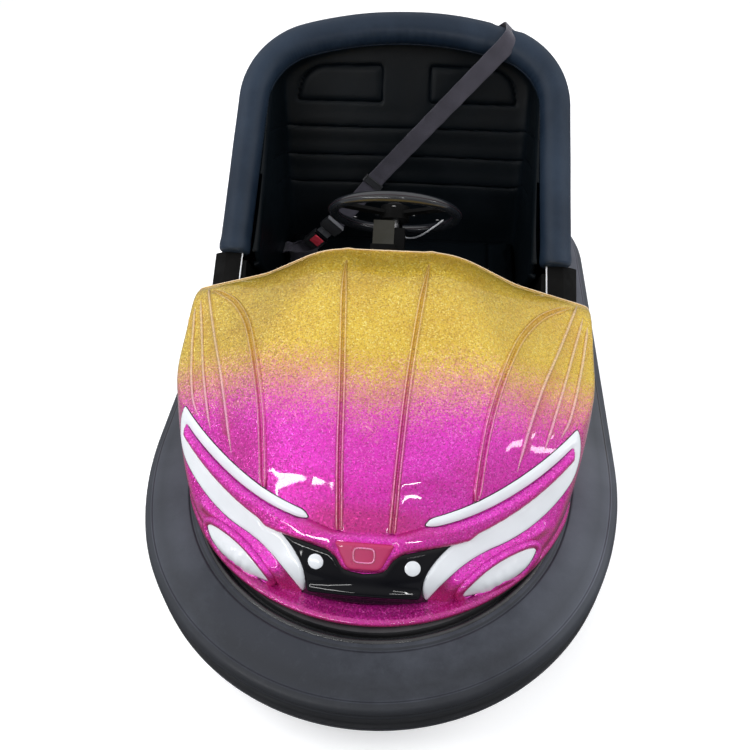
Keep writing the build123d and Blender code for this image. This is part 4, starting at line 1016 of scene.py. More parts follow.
def patch(name, skin, outline, look, lift, spacing=0.0035, skirt=0.007, replaces=(), on=on_nose):
    """Raised piece inside an outline; lift(gap to the edge, u, v) is its height over the moulding."""
    length = np.linalg.norm(np.roll(outline, -1, axis=0) - outline, axis=1).sum()
    edge = evened(outline, int(length / spacing))
    low, high = edge.min(axis=0), edge.max(axis=0)
    across, up = np.meshgrid(np.arange(low[0], high[0], spacing), np.arange(low[1], high[1], spacing * 0.866))
    across[1::2] += spacing / 2
    inner = np.stack([across.ravel(), up.ravel()], axis=1)
    inner = inner[inside(inner, edge)]
    inner = inner[edge_gap(inner, edge) > spacing * 0.55]
    flat = np.vstack([edge, inner])
    result = delaunay_2d_cdt([Vector(p) for p in flat], [], [list(range(len(edge)))], 1, 1e-7)
    spots, triangles = result[0], result[2]
    flat = np.array([tuple(p) for p in spots])
    gap = edge_gap(flat, edge)
    height = lift(gap, flat[:, 0], flat[:, 1])
    places, normals = seated(skin, flat, on)
    verts = places + normals * height[:, None]
    verts = ease(verts, triangles, gap > spacing * 0.5, 3)
    rim, out = seated(skin, edge, on)
    border = smoothed(rim + out * lift(np.zeros(len(edge)), *edge.T)[:, None], 6)
    for k in np.flatnonzero(gap < 1e-6):
        verts[k] = border[np.linalg.norm(edge - flat[k], axis=1).argmin()]
    mesh = bmesh.new()
    made = [mesh.verts.new(p) for p in verts]
    for triangle in triangles:
        mesh.faces.new([made[i] for i in triangle])
    border = [e for e in mesh.edges if len(e.link_faces) == 1]
    sunk = bmesh.ops.extrude_edge_only(mesh, edges=border)["geom"]
    down = {tuple(np.round(v.co, 7)): k for k, v in enumerate(made)}
    for piece in sunk:
        if isinstance(piece, bmesh.types.BMVert):
            k = down[tuple(np.round(piece.co, 7))]
            piece.co -= Vector(normals[k]) * skirt
    return from_bmesh(name, mesh, look, replaces, 50)


def ease(verts, triangles, free, rounds):
    """Evens out the free vertices of a triangle mesh."""
    pairs = np.array([(t[k], t[k - 1]) for t in triangles for k in range(3)])
    for _ in range(rounds):
        total, count = np.zeros_like(verts), np.zeros(len(verts))
        for a, b in ((0, 1), (1, 0)):
            np.add.at(total, pairs[:, a], verts[pairs[:, b]])
            np.add.at(count, pairs[:, a], 1)
        near = total / np.maximum(count, 1)[:, None]
        verts = np.where(free[:, None], verts + 0.5 * (near - verts), verts)
    return verts


def dome(gap, reach, height):
    """Quarter-round rise from an edge: 0 at the edge, height at reach and beyond."""
    share = np.clip(gap / reach, 0, 1)
    return height * np.sqrt(1 - (1 - share) ** 2)


def nose_line(name, skin, outline, radius, look, lift=0.0, closed=True, on=on_nose, rounds=2):
    """Thin bead along a line of the nose plane."""
    length = np.linalg.norm(np.diff(outline, axis=0), axis=1).sum()
    line = evened(outline, max(12, int(length / 0.004)), closed)
    places, normals = seated(skin, line, on)
    path = smoothed(places + normals * lift, rounds, closed)
    return swept(name, path, circle(radius, 8), look, closed=closed)


def mirror(outline):
    """The outline on the other side of the nose."""
    return outline[::-1] * np.array((-1.0, 1.0))


def lamps(skin):
    """White lenses of the strips and fog lamps, with their seams and the fog lamps' frames."""
    fog = above(skin, FOG, BODY_BASE + 0.017)
    for side, flip in (("left", lambda o: o), ("right", mirror)):
        stands_for = side == "left"
        patch("strip_lens_" + side, skin, flip(STRIP), "lens",
              lambda gap, u, v: 0.0012 + dome(gap, 0.006, 0.0035),
              replaces=("light_strips",) if stands_for else ())
        nose_line("strip_seam_" + side, skin, flip(STRIP), 0.0012, "seam", 0.0004)
        patch("fog_lens_" + side, skin, flip(fog), "lens", fog_relief,
              replaces=("fog_lamps",) if stands_for else ())
        border = evened(flip(fog), 150)
        bezel = smoothed(widened(border, 0.008), 4)
        nose_line("fog_frame_" + side, skin, bezel, 0.0098, "front", 0.0015, rounds=16)
        nose_line("fog_seam_" + side, skin, border, 0.0012, "seam", 0.0044, rounds=6)
        middle = np.array((0.097 if stands_for else -0.097, 0.029))
        spot = middle + np.array(circle(0.018, 48))
        patch("grille_lamp_" + side, skin, spot, "lens",
              lambda gap, u, v: 0.004 + dome(gap, 0.016, 0.004), 0.002,
              replaces=("grille_lamps",) if stands_for else ())


def above(skin, outline, lowest):
    """Outline of the nose plane with the points that fall below a height moved up to it."""
    kept = []
    for u, v in outline:
        while on_nose(skin, u, v)[0][2] < lowest:
            v += 0.001
        kept.append((u, v))
    return np.array(kept)


def fog_relief(gap, u, v):
    """Low moulded rays and a bowl inside the fog lamp's lens."""
    rays = 0.0011 * np.sin(np.abs(u) * 260 + v * 120) * step(0.008, 0.02, gap)
    bowl = 0.0022 * np.sin((np.abs(u) - 0.2) * 52) * np.sin((v + 0.09) * 40) * step(0.004, 0.016, gap)
    return 0.0046 + dome(gap, 0.005, 0.002) + rays + bowl


def widened(outline, reach):
    """Closed outline moved outwards."""
    ahead = np.roll(outline, -1, axis=0) - np.roll(outline, 1, axis=0)
    ahead /= np.maximum(np.linalg.norm(ahead, axis=1, keepdims=True), 1e-9)
    side = np.stack([ahead[:, 1], -ahead[:, 0]], axis=1)
    area = (outline[:, 0] * np.roll(outline[:, 1], -1) - np.roll(outline[:, 0], -1) * outline[:, 1]).sum()
    return outline + side * (reach if area > 0 else -reach)


def grille(skin):
    """Gloss black panel with its two folds, and the brow with the bare badge over it."""
    outline = above(skin, both_sides(GRILLE_HALF), BODY_BASE + 0.013)

    def folds(gap, u, v):
        upper = 0.011 * np.exp(-((v + 0.027) / 0.010) ** 2)
        lower = 0.013 * np.exp(-((v + 0.058) / 0.009) ** 2)
        return 0.0034 + dome(gap, 0.003, 0.0022) + (upper + lower) * step(0.0, 0.010, gap)

    patch("grille", skin, outline, "gloss", folds, 0.0027, replaces=("grille_panel",))
    nose_line("grille_seam", skin, outline, 0.001, "seam", 0.0008)
    def brow(gap, u, v):
        seat = 0.0045 * (1 - step(0.059, 0.065, np.abs(u)))
        return 0.001 + dome(gap, 0.011, 0.0125) - seat

    patch("brow_band", skin, both_sides(BAND_HALF), "front", brow, skirt=0.012)
    patch("badge", skin, BADGE, "badge", lambda gap, u, v: 0.009 + dome(gap, 0.004, 0.0055), 0.0022,
          replaces=("badge_plate",))
    # Raised outline on the badge in the pale lip paint: a painted highlight.
    frame = rounded([(0.021, 0.068), (0.021, 0.038), (-0.021, 0.038), (-0.021, 0.068)], 0.005, 5)
    nose_line("badge_highlight_frame", skin, frame, 0.0018, "lip", 0.0148)


def plan_outline(tree, height, centre, count, low=0.0, high=360.0):
    """Outermost points of a search tree at one height, seen from all sides."""
    points = []
    for t in np.linspace(radians(low), radians(high), count, endpoint=high - low < 360):
        way = Vector((cos(t), sin(t), 0))
        hit = tree.ray_cast(Vector((*centre, height)) + way * 2, -way)[0]
        if hit:
            points.append(hit)
    return np.array(points)


def ledge():
    """Moulded lip round the foot of the nose."""
    tree = search_tree(("front_body",))
    line = plan_outline(tree, BODY_BASE + 0.007, (0, -0.3), 400, 200.0, 340.0)
    line = smoothed(evened(line, 260, closed=False), 6, closed=False)
    section = rounded([(-0.0005, -0.046), (-0.0005, -0.006), (0.003, 0.0), (0.010, 0.0005), (0.0165, -0.006),
                       (0.0150, -0.016), (0.0130, -0.026), (0.0140, -0.046)], 0.004, 3)
    path = line.copy()
    path[:, 2] = BODY_BASE
    swept("front_ledge", path, section, "ledge", up=(0, 0, 1))


def bumper():
    """Rubber ring: rounded tread, crease, soft top and a polished bead at its inner edge."""
    middle = (RING_LOW.z + RING_HIGH.z) / 2
    half = RING_HIGH.z - middle
    tree = search_tree(("bumper_ring",))
    line = smoothed(evened(plan_outline(tree, middle, (0, 0), 720), 620), 10)
    out = line - np.roll(line, -1, axis=0)
    out = np.stack([-out[:, 1], out[:, 0]], axis=1)
    out /= np.linalg.norm(out, axis=1, keepdims=True)
    if (out * line[:, :2]).sum() < 0:
        out = -out
    tread = ((0.0, 0.052), (0.0035, 0.047), (0.0035, 0.040), (0.0, 0.0375), (0.007, 0.026), (0.018, 0.0205),
             (0.022, 0.0225), (0.060, 0.009), (0.108, 0.001), (0.113, 0.004), (0.118, 0.0), (0.134, 0.0005),
             (0.142, 0.009))
    upper = [(0.0, -0.004)] + [(inset, half - drop) for inset, drop in tread]
    lower = [(inset, -z) for inset, z in reversed(upper)]
    radii = [0.004] * 3 + [0.003] * 2 + [0.008, 0.003, 0.004, 0.02] + [0.004] * 4 + [0.006]
    section = rounded(upper + lower, radii + radii[::-1], 3)
    points = np.zeros((len(line), len(section), 3))
    points[:, :, :2] = line[:, None, :2] - out[:, None] * section[None, :, :1]
    points[:, :, 2] = middle + section[None, :, 1]
    for k in range(len(line)):
        wave = noise.noise(Vector(line[k]) * 3.0)
        points[k, :, 2] += 0.0012 * wave * (points[k, :, 2] > middle)
    make("rubber_ring", points.reshape(-1, 3), grid_faces(*points.shape[:2], True, True), "ring",
         replaces=("bumper_ring",), sharp=60)
    inner = line.copy()
    inner[:, :2] -= out * (RING_WIDTH - BEAD_IN)
    inner[:, 2] = RING_HIGH.z - BEAD_DROP
    swept("ring_bead", inner, circle(BEAD_RADIUS, 12, 0.8), "bead", closed=True, up=(0, 0, 1))


SKIN = front_moulding()
ribs(SKIN)
lamps(SKIN)
grille(SKIN)
ledge()
bumper()
print("front done")

# ------------------------------------------------------------------ cabin padding
SLOPE = atan2(RIM_HEAD[1] - RIM_FOOT[1], RIM_HEAD[0] - RIM_FOOT[0])
RIM_ACROSS = np.array((1.0, 0.0, 0.0))
RIM_UP = np.array((0.0, cos(SLOPE), sin(SLOPE)))
RIM_OUT = np.array((0.0, -sin(SLOPE), cos(SLOPE)))
RIM_START = np.array((0.0, *RIM_FOOT))
RIM_HEIGHT = hypot(RIM_HEAD[0] - RIM_FOOT[0], RIM_HEAD[1] - RIM_FOOT[1])
RIM_END_STEP = 0.0036
BELT_TURN = radians(78)
BELT_LEAN = radians(41.1)
BELT_ACROSS = Vector((cos(BELT_LEAN), 0, -sin(BELT_LEAN)))
BELT_UP = Vector((sin(BELT_LEAN), 0, cos(BELT_LEAN)))
WEBBING = 0.048


def rim_place(x, up, lift=0.0):
    """Place over the rim's sloping plane."""
    return RIM_START + RIM_ACROSS * x + RIM_UP * up + RIM_OUT * lift


def rim_line(inset, start):
    """The rim's arch, moved inwards, from a distance up its left side round to the right: (x, up) pairs."""
    half, bend_in, bend, crown = RIM_SHAPE
    corner = (half - bend_in, RIM_HEIGHT - bend - crown)
    rise = bend + crown
    top = (rise ** 2 + corner[0] ** 2 - bend ** 2) / (2 * crown)
    turn = atan2(corner[1] - (RIM_HEIGHT - top), corner[0])
    lean = atan2(corner[1], corner[0] - half) - asin(bend / hypot(bend_in, corner[1]))
    radius = bend - inset
    angles = np.linspace(lean - pi / 2, turn, 40)
    bent = [(corner[0] + radius * cos(t), corner[1] + radius * sin(t)) for t in angles]
    touch = bent[0]
    side = [(touch[0] - (touch[1] - u) / tan(lean), u) for u in np.linspace(start, touch[1], 60)[:-1]]
    crest = [((top - inset) * cos(t), RIM_HEIGHT - top + (top - inset) * sin(t))
             for t in np.linspace(turn, pi / 2, 30)[1:]]
    half_line = side + bent + crest
    return np.array(half_line + [(-x, u) for x, u in half_line[:-1][::-1]])


def rim_roll():
    """Fat vinyl roll over the rim: a little uneven, with fine folds inside its corners."""
    flat = evened(rim_line(RIM_ROLL_IN, PAD_FOOT + 0.012), 420, closed=False)
    path = np.array([rim_place(x, u) for x, u in flat])
    side, across = frames(path, False, RIM_OUT)
    around = 36
    points = np.zeros((len(path), around, 3))
    for k, place in enumerate(path):
        share = min(k, len(path) - 1 - k) * RIM_END_STEP
        end = 1 - 0.16 * (1 - min(share / 0.006, 1)) ** 2 + 0.05 * max(0, 1 - abs(share - 0.016) / 0.014)
        strap = 0.0024 * (1 - step(0.022, 0.04, abs(flat[k][0] - 0.242) + 4.0 * (flat[k][0] < 0)))
        for m in range(around):
            t = 2 * pi * m / around
            soft = noise.noise(Vector(place) * 9 + Vector((cos(t), sin(t), 0)) * 0.8)
            crimp = sin(flat[k][1] * 620 + flat[k][0] * 300) * 0.0006
            fold = crimp * step(0.3, 0.46, flat[k][1]) * max(0, -cos(t - 1.2))
            radius = (RIM_PAD / 2 + 0.0009 * soft + fold - strap) * end
            points[k, m] = place + side[k] * radius * cos(t) + across[k] * radius * sin(t)
    faces = grid_faces(*points.shape[:2], False, True)
    faces += [tuple(range(around))[::-1], tuple(range((len(path) - 1) * around, len(path) * around))]
    roll = make("rim_roll", points.reshape(-1, 3), faces, "roll", replaces=("seat_rim_pad",), sharp=50)
    for lift, reach in ((-0.021, 0.0315), (-0.0335, -0.0165)):
        line = evened(rim_line(RIM_ROLL_IN + reach, PAD_FOOT + 0.016), 300, False)
        seam = np.array([rim_place(x, u, lift) for x, u in line])
        swept("roll_piping_" + ("in" if reach > 0 else "out"), seam, circle(0.0022, 8), "roll", up=RIM_OUT)


def rim_corner(inset, turn):
    """Point of the rim's rear left corner at a turn."""
    half, bend_in, bend, crown = RIM_SHAPE
    x = half - bend_in + (bend - inset) * cos(turn)
    return rim_place(x, RIM_HEIGHT - bend - crown + (bend - inset) * sin(turn))


CHANNELS = ((0.667, 0.0), (0.588, 0.002), (0.509, 0.004))     # height and bow
LINING_MIDDLE = (0.0, 0.17)
LINING_WALL = 0.012
CHANNEL_DEPTH = 0.0034
CHANNEL_WIDTH = 0.0030
HEADREST_DEPTH = 0.0042


def channel_height(level, bow, around, y):
    """Height of a sewn channel of the lining at a distance from the middle."""
    turn_off = step(0.30, 0.40, around + np.maximum(0, 0.46 - y))
    return level + bow * np.cos(around * 6) + 0.4 * np.maximum(0, 0.455 - y) + 0.016 * turn_off


def lining():
    """Soft vinyl lining of the seat back and sides, with sewn channels and two headrest panels."""
    tree = search_tree(("seat_back_pad", "seat_side_pad_left", "seat_side_pad_right", "rear_body"))
    middle = LINING_MIDDLE
    columns, rows = 330, 150
    under = 0.016
    foot = corners("seat_back_pad")[0].z + 0.003
    points = np.zeros((rows, columns, 3))
    for j, t in enumerate(np.linspace(radians(-21.5), radians(201.5), columns)):
        way = Vector((cos(t), sin(t), 0))
        side_x = SIDE_PAD_X / max(abs(way.x), 1e-6)

        def wall(z):
            """Place on the padding at a height, or None over the rim."""
            start = Vector((*middle, z))
            hit = tree.ray_cast(start, way)[0]
            if hit is None or (np.array(hit) - RIM_START) @ RIM_OUT > 0:
                return None
            back = (BACK_FOOT[0] + (z - BACK_FOOT[1]) * tan(BACK_LEAN) - middle[1]) / max(way.y, 1e-6)
            return start + way * min((hit - start).length, side_x, back if back > 0 else 9.0)

        def halved(low, high, is_low):
            for _ in range(14):
                z = (low + high) / 2
                low, high = (z, high) if is_low(wall(z)) else (low, z)
            return low

        def under_rim(p):
            return p is not None and (np.array(p) - RIM_START) @ RIM_OUT < -under

        def before_pads(p):
            return p is None or (np.array(p) - RIM_START) @ RIM_UP < PAD_FOOT + 0.002

        top = halved(foot, 0.96, under_rim)
        bottom = halved(foot, top, before_pads)
        bottom = bottom if bottom > foot + 0.002 else foot
        for i in range(rows):
            points[i, j] = wall(bottom + (top - 0.0005 - bottom) * i / (rows - 1))
    points = relax(points, 70)
    normals = grid_normals(points)
    if normals[rows // 2, columns // 2] @ np.array((0, -1.0, 0)) < 0:
        normals = -normals
    flat = points.reshape(-1, 3)
    lift = np.zeros(len(flat))
    for level, bow in CHANNELS:
        height = channel_height(level, bow, np.abs(flat[:, 0]), flat[:, 1])
        ends = 1 - step(0.17, 0.26, 0.50 - flat[:, 1])
        gap = np.abs(flat[:, 2] - height)
        lift -= CHANNEL_DEPTH * np.exp(-(gap / CHANNEL_WIDTH) ** 2) * ends
        lift += 0.0008 * np.exp(-((gap - 0.018) / 0.016) ** 2) * ends
    for side in (1, -1):
        panel = rounded([(0.066, 0.737), (0.303, 0.737), (0.290, 0.792), (0.243, 0.827), (0.066, 0.830)],
                        [0.006, 0.006, 0.05, 0.05, 0.006], 8)
        place = np.stack([side * flat[:, 0], flat[:, 2]], axis=1)
        gap = edge_gap(place, panel)
        within = inside(place, panel) & (flat[:, 1] > 0.35)
        lift += np.where(within, 0.0035 * step(0, 0.014, gap), 0.0)
        lift -= HEADREST_DEPTH * np.exp(-(gap / 0.0036) ** 2) * (flat[:, 1] > 0.35)
    soft = np.array([noise.noise(Vector(p) * 7.0) for p in flat])
    lift += 0.0016 * soft
    border = np.minimum(np.arange(rows), np.arange(rows)[::-1])[:, None] * np.ones(columns)
    lift = lift.reshape(rows, columns) + 0.0015 - 0.006 * (1 - step(0, 5, border))
    points = points + normals * lift[:, :, None]
    piece = make("seat_lining", points.reshape(-1, 3), grid_faces(rows, columns), "pads",
                 replaces=("seat_back_pad", "seat_side_pad_left", "seat_side_pad_right"))
    thick = piece.modifiers.new("thickness", "SOLIDIFY")
    thick.thickness = LINING_WALL
    thick.offset = -1.0
    settle(piece)
    return grid_tree(points)


def stitching(tree):
    """Pale thread along the lining's three sewn channels."""
    for number, (level, bow) in enumerate(CHANNELS):
        path = []
        for t in np.linspace(radians(28), radians(152), 150):
            way = Vector((cos(t), sin(t), 0))
            z = level
            for _ in range(3):
                hit = tree.ray_cast(Vector((*LINING_MIDDLE, z)), way)[0]
                z = channel_height(level, bow, abs(hit.x), hit.y) + 0.0034
            path.append(hit - way * 0.0007)
        path = smoothed(np.array(path), 2, closed=False)
        swept(f"channel_thread_{number + 1}", path, circle(0.0008, 6), "thread", up=(0, 0, 1))


def swollen(name, node, inset, voxel, pressure, cap, look):
    """Cushion: a CAD solid drawn in a little, remeshed and blown up by cloth simulation, its move capped."""
    source = NODES[node].data
    mesh = bpy.data.meshes.new(name)
    low, high = corners(node)
    middle = (low + high) / 2
    half = (high - low) / 2
    verts = []
    for v in source.vertices:
        rel = v.co - middle
        verts.append(middle + Vector([rel[k] * (half[k] - inset) / half[k] for k in range(3)]))
    mesh.from_pydata(verts, [], [tuple(p.vertices) for p in source.polygons])
    weld = bmesh.new()
    weld.from_mesh(mesh)
    bmesh.ops.remove_doubles(weld, verts=weld.verts, dist=1e-5)
    weld.to_mesh(mesh)
    weld.free()
    piece = bpy.data.objects.new(name, mesh)
    bpy.context.scene.collection.objects.link(piece)
    grain = piece.modifiers.new("even", "REMESH")
    grain.mode = "VOXEL"
    grain.voxel_size = voxel
    settle(piece)
    start = np.array([v.co[:] for v in piece.data.vertices])
    cloth = piece.modifiers.new("cloth", "CLOTH")
    cloth.settings.use_pressure = True
    cloth.settings.uniform_pressure_force = pressure
    cloth.settings.effector_weights.gravity = 0
    cloth.point_cache.frame_end = 20
    for frame_number in range(1, 21):
        bpy.context.scene.frame_set(frame_number)
    settle(piece)
    bpy.context.scene.frame_set(1)
    moved = np.array([v.co[:] for v in piece.data.vertices]) - start
    size = np.linalg.norm(moved, axis=1, keepdims=True)
    moved *= np.minimum(1, cap / np.maximum(size, 1e-9))
    places = start + moved
    for v, p in zip(piece.data.vertices, places):
        v.co = p
    fine = piece.modifiers.new("fine", "SUBSURF")
    fine.levels = fine.render_levels = 1
    settle(piece)
    piece.data.materials.clear()
    piece.data.materials.append(MATS[look])
    piece.data.shade_smooth()
    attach(piece, "car")
    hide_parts(node)
    return piece


def groove(piece, depth_at):
    """Presses a piece's surface in along its normals by a depth given for each place."""
    places = np.array([v.co[:] for v in piece.data.vertices])
    normals = np.array([v.normal[:] for v in piece.data.vertices])
    places -= normals * depth_at(places, normals)[:, None]
    for v, p in zip(piece.data.vertices, places):
        v.co = p


def cushion():
    """Seat cushion with sewn channels from front to back and a piped front edge."""
    piece = swollen("seat_cushion_soft", "seat_cushion", 0.010, 0.0055, 4.0, 0.009, "pads")
    low, high = corners("seat_cushion")

    def depth(places, normals):
        up = step(0.3, 0.8, normals[:, 2])
        total = np.zeros(len(places))
        for x in (-0.26, -0.0, 0.26):
            total += 0.006 * np.exp(-((places[:, 0] - x) / 0.006) ** 2) * up
        rear = 0.005 * np.exp(-((places[:, 1] - low.y - 0.11) / 0.006) ** 2) * up
        return np.maximum(total, rear)

    groove(piece, depth)
    z = high.z - 0.024
    corner = [(low.x + 0.006, high.y - 0.15), (low.x + 0.006, low.y + 0.004), (high.x - 0.006, low.y + 0.004),
              (high.x - 0.006, high.y - 0.15)]
    line = [(x, y, z) for x, y in rounded(corner, 0.03, 6, closed=False)]
    swept("cushion_piping", evened(line, 160, closed=False), circle(0.0032, 8), "pads", up=(0, 0, 1))


# ------------------------------------------------------------------ belt
ADJUSTER = Vector((-0.087, 0.400, 0.540))
TONGUE = Vector((-0.197, 0.300, 0.455))
BUCKLE = Vector((-0.246, 0.300, 0.408))


def belt_flat(place):
    """A place in the upright plane of the upper belt: (up the webbing's slope, y)."""
    rel = Vector(place) - Vector(rim_corner(RIM_ROLL_IN, BELT_TURN))
    return rel @ BELT_UP, rel.y


def belt_place(up, y):
    """The place of a point in the upper belt's upright plane."""
    origin = Vector(rim_corner(RIM_ROLL_IN, BELT_TURN))
    return origin + BELT_UP * up + Vector((0, y, 0))


def web(name, path, width=WEBBING, thick=0.0018, wave=0.0008, across=BELT_ACROSS, replaces=()):
    """Flat webbing along a path, with fuller edges and a slight wander."""
    path = evened(path, max(24, int(len(path) * 2)), closed=False)
    half = width / 2
    edge = [(-half, 0.5), (-half + 0.002, 0.8), (-half + 0.006, 0.5)]
    top = edge + [(0, 0.35)] + [(-a, t) for a, t in edge[::-1]]
    section = [(a, thick * t) for a, t in top] + [(a, -thick * t) for a, t in top[::-1]]
    sway = np.array((0, 1.0, 0.3))
    path = np.array([p + sway * wave * sin(k * 0.35) * min(1, k / 8, (len(path) - 1 - k) / 8)
                     for k, p in enumerate(path)])
    return swept(name, path, section, "webbing", up=across, replaces=replaces, sharp=35)


def upper_belt():
    """Shoulder and chest straps with the adjuster between them."""
    start = belt_flat(ADJUSTER)
    line = rounded([start, (0.0385, -0.042), (0.0385, 0.030), (-0.052, 0.070)], 0.022, 10, closed=False)
    path = [belt_place(u, y) for u, y in evened(line, 110, closed=False)]
    web("belt_shoulder", path, replaces=("belt_upper",))
    mid = (ADJUSTER + TONGUE) / 2 + Vector((0, 0.006, -0.010))
    lower = [ADJUSTER, mid * 0.5 + ADJUSTER * 0.5, mid, mid * 0.5 + TONGUE * 0.5, TONGUE]
    web("belt_chest", smoothed(evened(lower, 40, closed=False), 6, closed=False), wave=0.0004)
    along = (belt_place(*line[20]) - ADJUSTER).normalized()
    ahead = along.cross(BELT_ACROSS).normalized()
    if ahead.y > 0:
        ahead = -ahead
    fold = [ADJUSTER + along * a + ahead * b for a, b in
            ((0.045, 0.003), (0.020, 0.004), (-0.004, 0.006), (-0.012, 0.003), (-0.004, 0.0005),
             (0.006, 0.0))]
    web("belt_fold", rounded(fold, 0.006, 4, closed=False), wave=0.0)
    middle = ADJUSTER + along * 0.002 + ahead * 0.004
    slide_box("belt_slide", middle, along, ahead, (0.017, 0.055, 0.006), "buckle")


def slide_box(name, centre, along, ahead, size, look, replaces=(), bevel=0.0025):
    """Softly edged block on the belt: its length along the belt, then its width and thickness."""
    across = along.cross(ahead).normalized()
    mesh = bmesh.new()
    bmesh.ops.create_cube(mesh, size=1)
    for v in mesh.verts:
        a, b, c = (v.co[k] * size[k] for k in range(3))
        v.co = Vector(centre) + along * a + across * b + ahead * c
    offset = min(bevel, min(size) * 0.45)
    bmesh.ops.bevel(mesh, geom=mesh.edges, offset=offset, segments=3, affect="EDGES", profile=0.6)
    return from_bmesh(name, mesh, look, replaces, 45)


def buckle():
    """Tongue, buckle with its red button, and the lap strap down to the crack beside the cushion."""
    down = (BUCKLE - TONGUE).normalized()
    ahead = down.cross(BELT_ACROSS).normalized()
    if ahead.z < 0:
        ahead = -ahead
    # name, start, way along the belt, way out, size, look, CAD node it stands for, bevel
    for name, start, way, out, size, look, stands_for, bevel in (
        ("belt_tongue_head", TONGUE, 0.0, 0.0, (0.036, 0.060, 0.015), "buckle", ("belt_tongue",), 0.004),
        ("belt_tongue_bar", TONGUE, -0.0190, 0.001, (0.0028, 0.058, 0.0152), "clip", (), 0.001),
        ("belt_tongue_plate", TONGUE, 0.030, 0.0, (0.034, 0.040, 0.0028), "clip", (), 0.001),
        ("belt_buckle_body", BUCKLE, 0.0, 0.0, (0.056, 0.050, 0.021), "buckle", ("belt_buckle",), 0.005),
        ("belt_buckle_lip", BUCKLE, -0.025, 0.001, (0.007, 0.046, 0.0225), "gloss", (), 0.0025),
        ("belt_button", BUCKLE, -0.006, 0.0106, (0.027, 0.031, 0.006), "button", (), 0.0015),
    ):
        centre = start + down * way + ahead * out
        slide_box(name, centre, down, ahead, size, look, stands_for, bevel)
    hip_x = -SIDE_PAD_X + 0.003
    end = BUCKLE + down * 0.026
    crack = Vector((hip_x, 0.288, 0.374))
    bends = [end, end + down * 0.03, crack + Vector((0.016, 0, 0.016)), crack + Vector((0.001, 0, -0.004)),
             Vector((hip_x, 0.288, 0.268))]
    path = rounded(bends, 0.02, 8, closed=False)
    strap = web("belt_lap", path, across=(0.0, 1.0, 0.0), replaces=("belt_lower",), wave=0.0)
    turn_web(strap, end, down)
    loop = [(-0.318, 0.262, 0.372), (-0.300, 0.245, 0.384), (-0.262, 0.252, 0.386), (-0.238, 0.290, 0.374),
            (-0.262, 0.322, 0.370), (-0.305, 0.316, 0.378), (-0.330, 0.290, 0.372)]
    web("belt_loop", rounded(loop, 0.02, 6, closed=False), across=(0.35, 0.0, 0.94), width=0.030, wave=0.0)


def turn_web(strap, end, down):
    """Turns the lap strap's upper end so that its width lines up with the buckle's."""
    for v in strap.data.vertices:
        away = max(0.0, 1 - (v.co - end).length / 0.09)
        if away > 0:
            line = end + (v.co - end).project(down)
            off = v.co - line
            width = off.y
            thin = off - Vector((0, width, 0))
            target = BELT_ACROSS * -width + thin * 0.6
            v.co = line + off.lerp(target, away * away * (3 - 2 * away))


rim_roll()
stitching(lining())
cushion()
upper_belt()
buckle()
print("cabin done")


# ------------------------------------------------------------------ steering wheel and sills
WHEEL_TOP = Vector((0, -cos(STEER_TILT), sin(STEER_TILT)))


def wheel_place(x, up, along=0.0):
    """Place from the wheel's middle: across, up the wheel's face and along its axis towards the driver."""
    return STEER + Vector((x, 0, 0)) + WHEEL_TOP * up + STEER_AXIS * along


def wheel_trim():
    """Seams of the rim's grip, the horn button and the screws in the spokes."""
    for number, radius in enumerate((0.1397, 0.1653)):
        turns = np.linspace(0, 2 * pi, 120, endpoint=False)
        ring = [wheel_place(radius * cos(t), radius * sin(t), 0.0) for t in turns]
        swept(f"rim_seam_{number + 1}", ring, circle(0.0009, 6), "seam", "steering_wheel", closed=True,
              up=STEER_AXIS)
    cap = rounded([(0.0, 0.0168), (0.029, 0.0168), (0.027, 0.0235), (0.012, 0.0255), (0.0, 0.0257)], 0.003, 4)
    turned("horn_button", np.maximum(cap, (0.0002, 0)), STEER, STEER_AXIS, "gloss", "steering_wheel", 48)
    screw = rounded([(0.0, 0.0), (0.0062, 0.0), (0.0058, 0.0022), (0.002, 0.0032), (0.0, 0.0032)], 0.001, 3)
    screw = np.maximum(screw, (0.0002, 0))
    for turn in (-30, 90, 210):
        for reach in (0.052, 0.122):
            centre = wheel_place(reach * cos(radians(turn)), reach * sin(radians(turn)), 0.0038)
            turned(f"spoke_screw_{turn + 30}_{int(reach * 1000)}", screw, centre, STEER_AXIS,
                   "zinc", "steering_wheel", 20)


def column_head():
    """Painted box round the top of the column, with the horn's loose wire beside it."""
    mid = wheel_place(-0.023, 0.002, -0.056)
    slide_box("column_box", mid, STEER_AXIS, WHEEL_TOP, (0.058, 0.044, 0.056), "column", bevel=0.004)
    foot = mid - STEER_AXIS * 0.047
    slide_box("column_box_foot", foot, STEER_AXIS, WHEEL_TOP, (0.036, 0.056, 0.062), "dark")
    edge = [(-0.003, 0.105, 0.594), (0.0074, 0.105, 0.5763), (0.0209, 0.102, 0.5697), (0.0388, 0.098, 0.5689),
            (0.0568, 0.092, 0.5773), (0.0735, 0.086, 0.5927), (0.0990, 0.074, 0.6233),
            (0.1200, 0.062, 0.6520)]
    curve = bpy.data.curves.new("horn_wire", "CURVE")
    curve.dimensions = "3D"
    curve.bevel_depth = 0.0021
    curve.bevel_resolution = 3
    curve.resolution_u = 12
    spline = curve.splines.new("NURBS")
    spline.points.add(len(edge) - 1)
    for point, place in zip(spline.points, edge):
        point.co = (*place, 1)
    spline.order_u = 3
    spline.use_endpoint_u = True
    curve.materials.append(MATS["wire"])
    wire = bpy.data.objects.new("horn_wire", curve)
    bpy.context.scene.collection.objects.link(wire)
    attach(wire, "car")


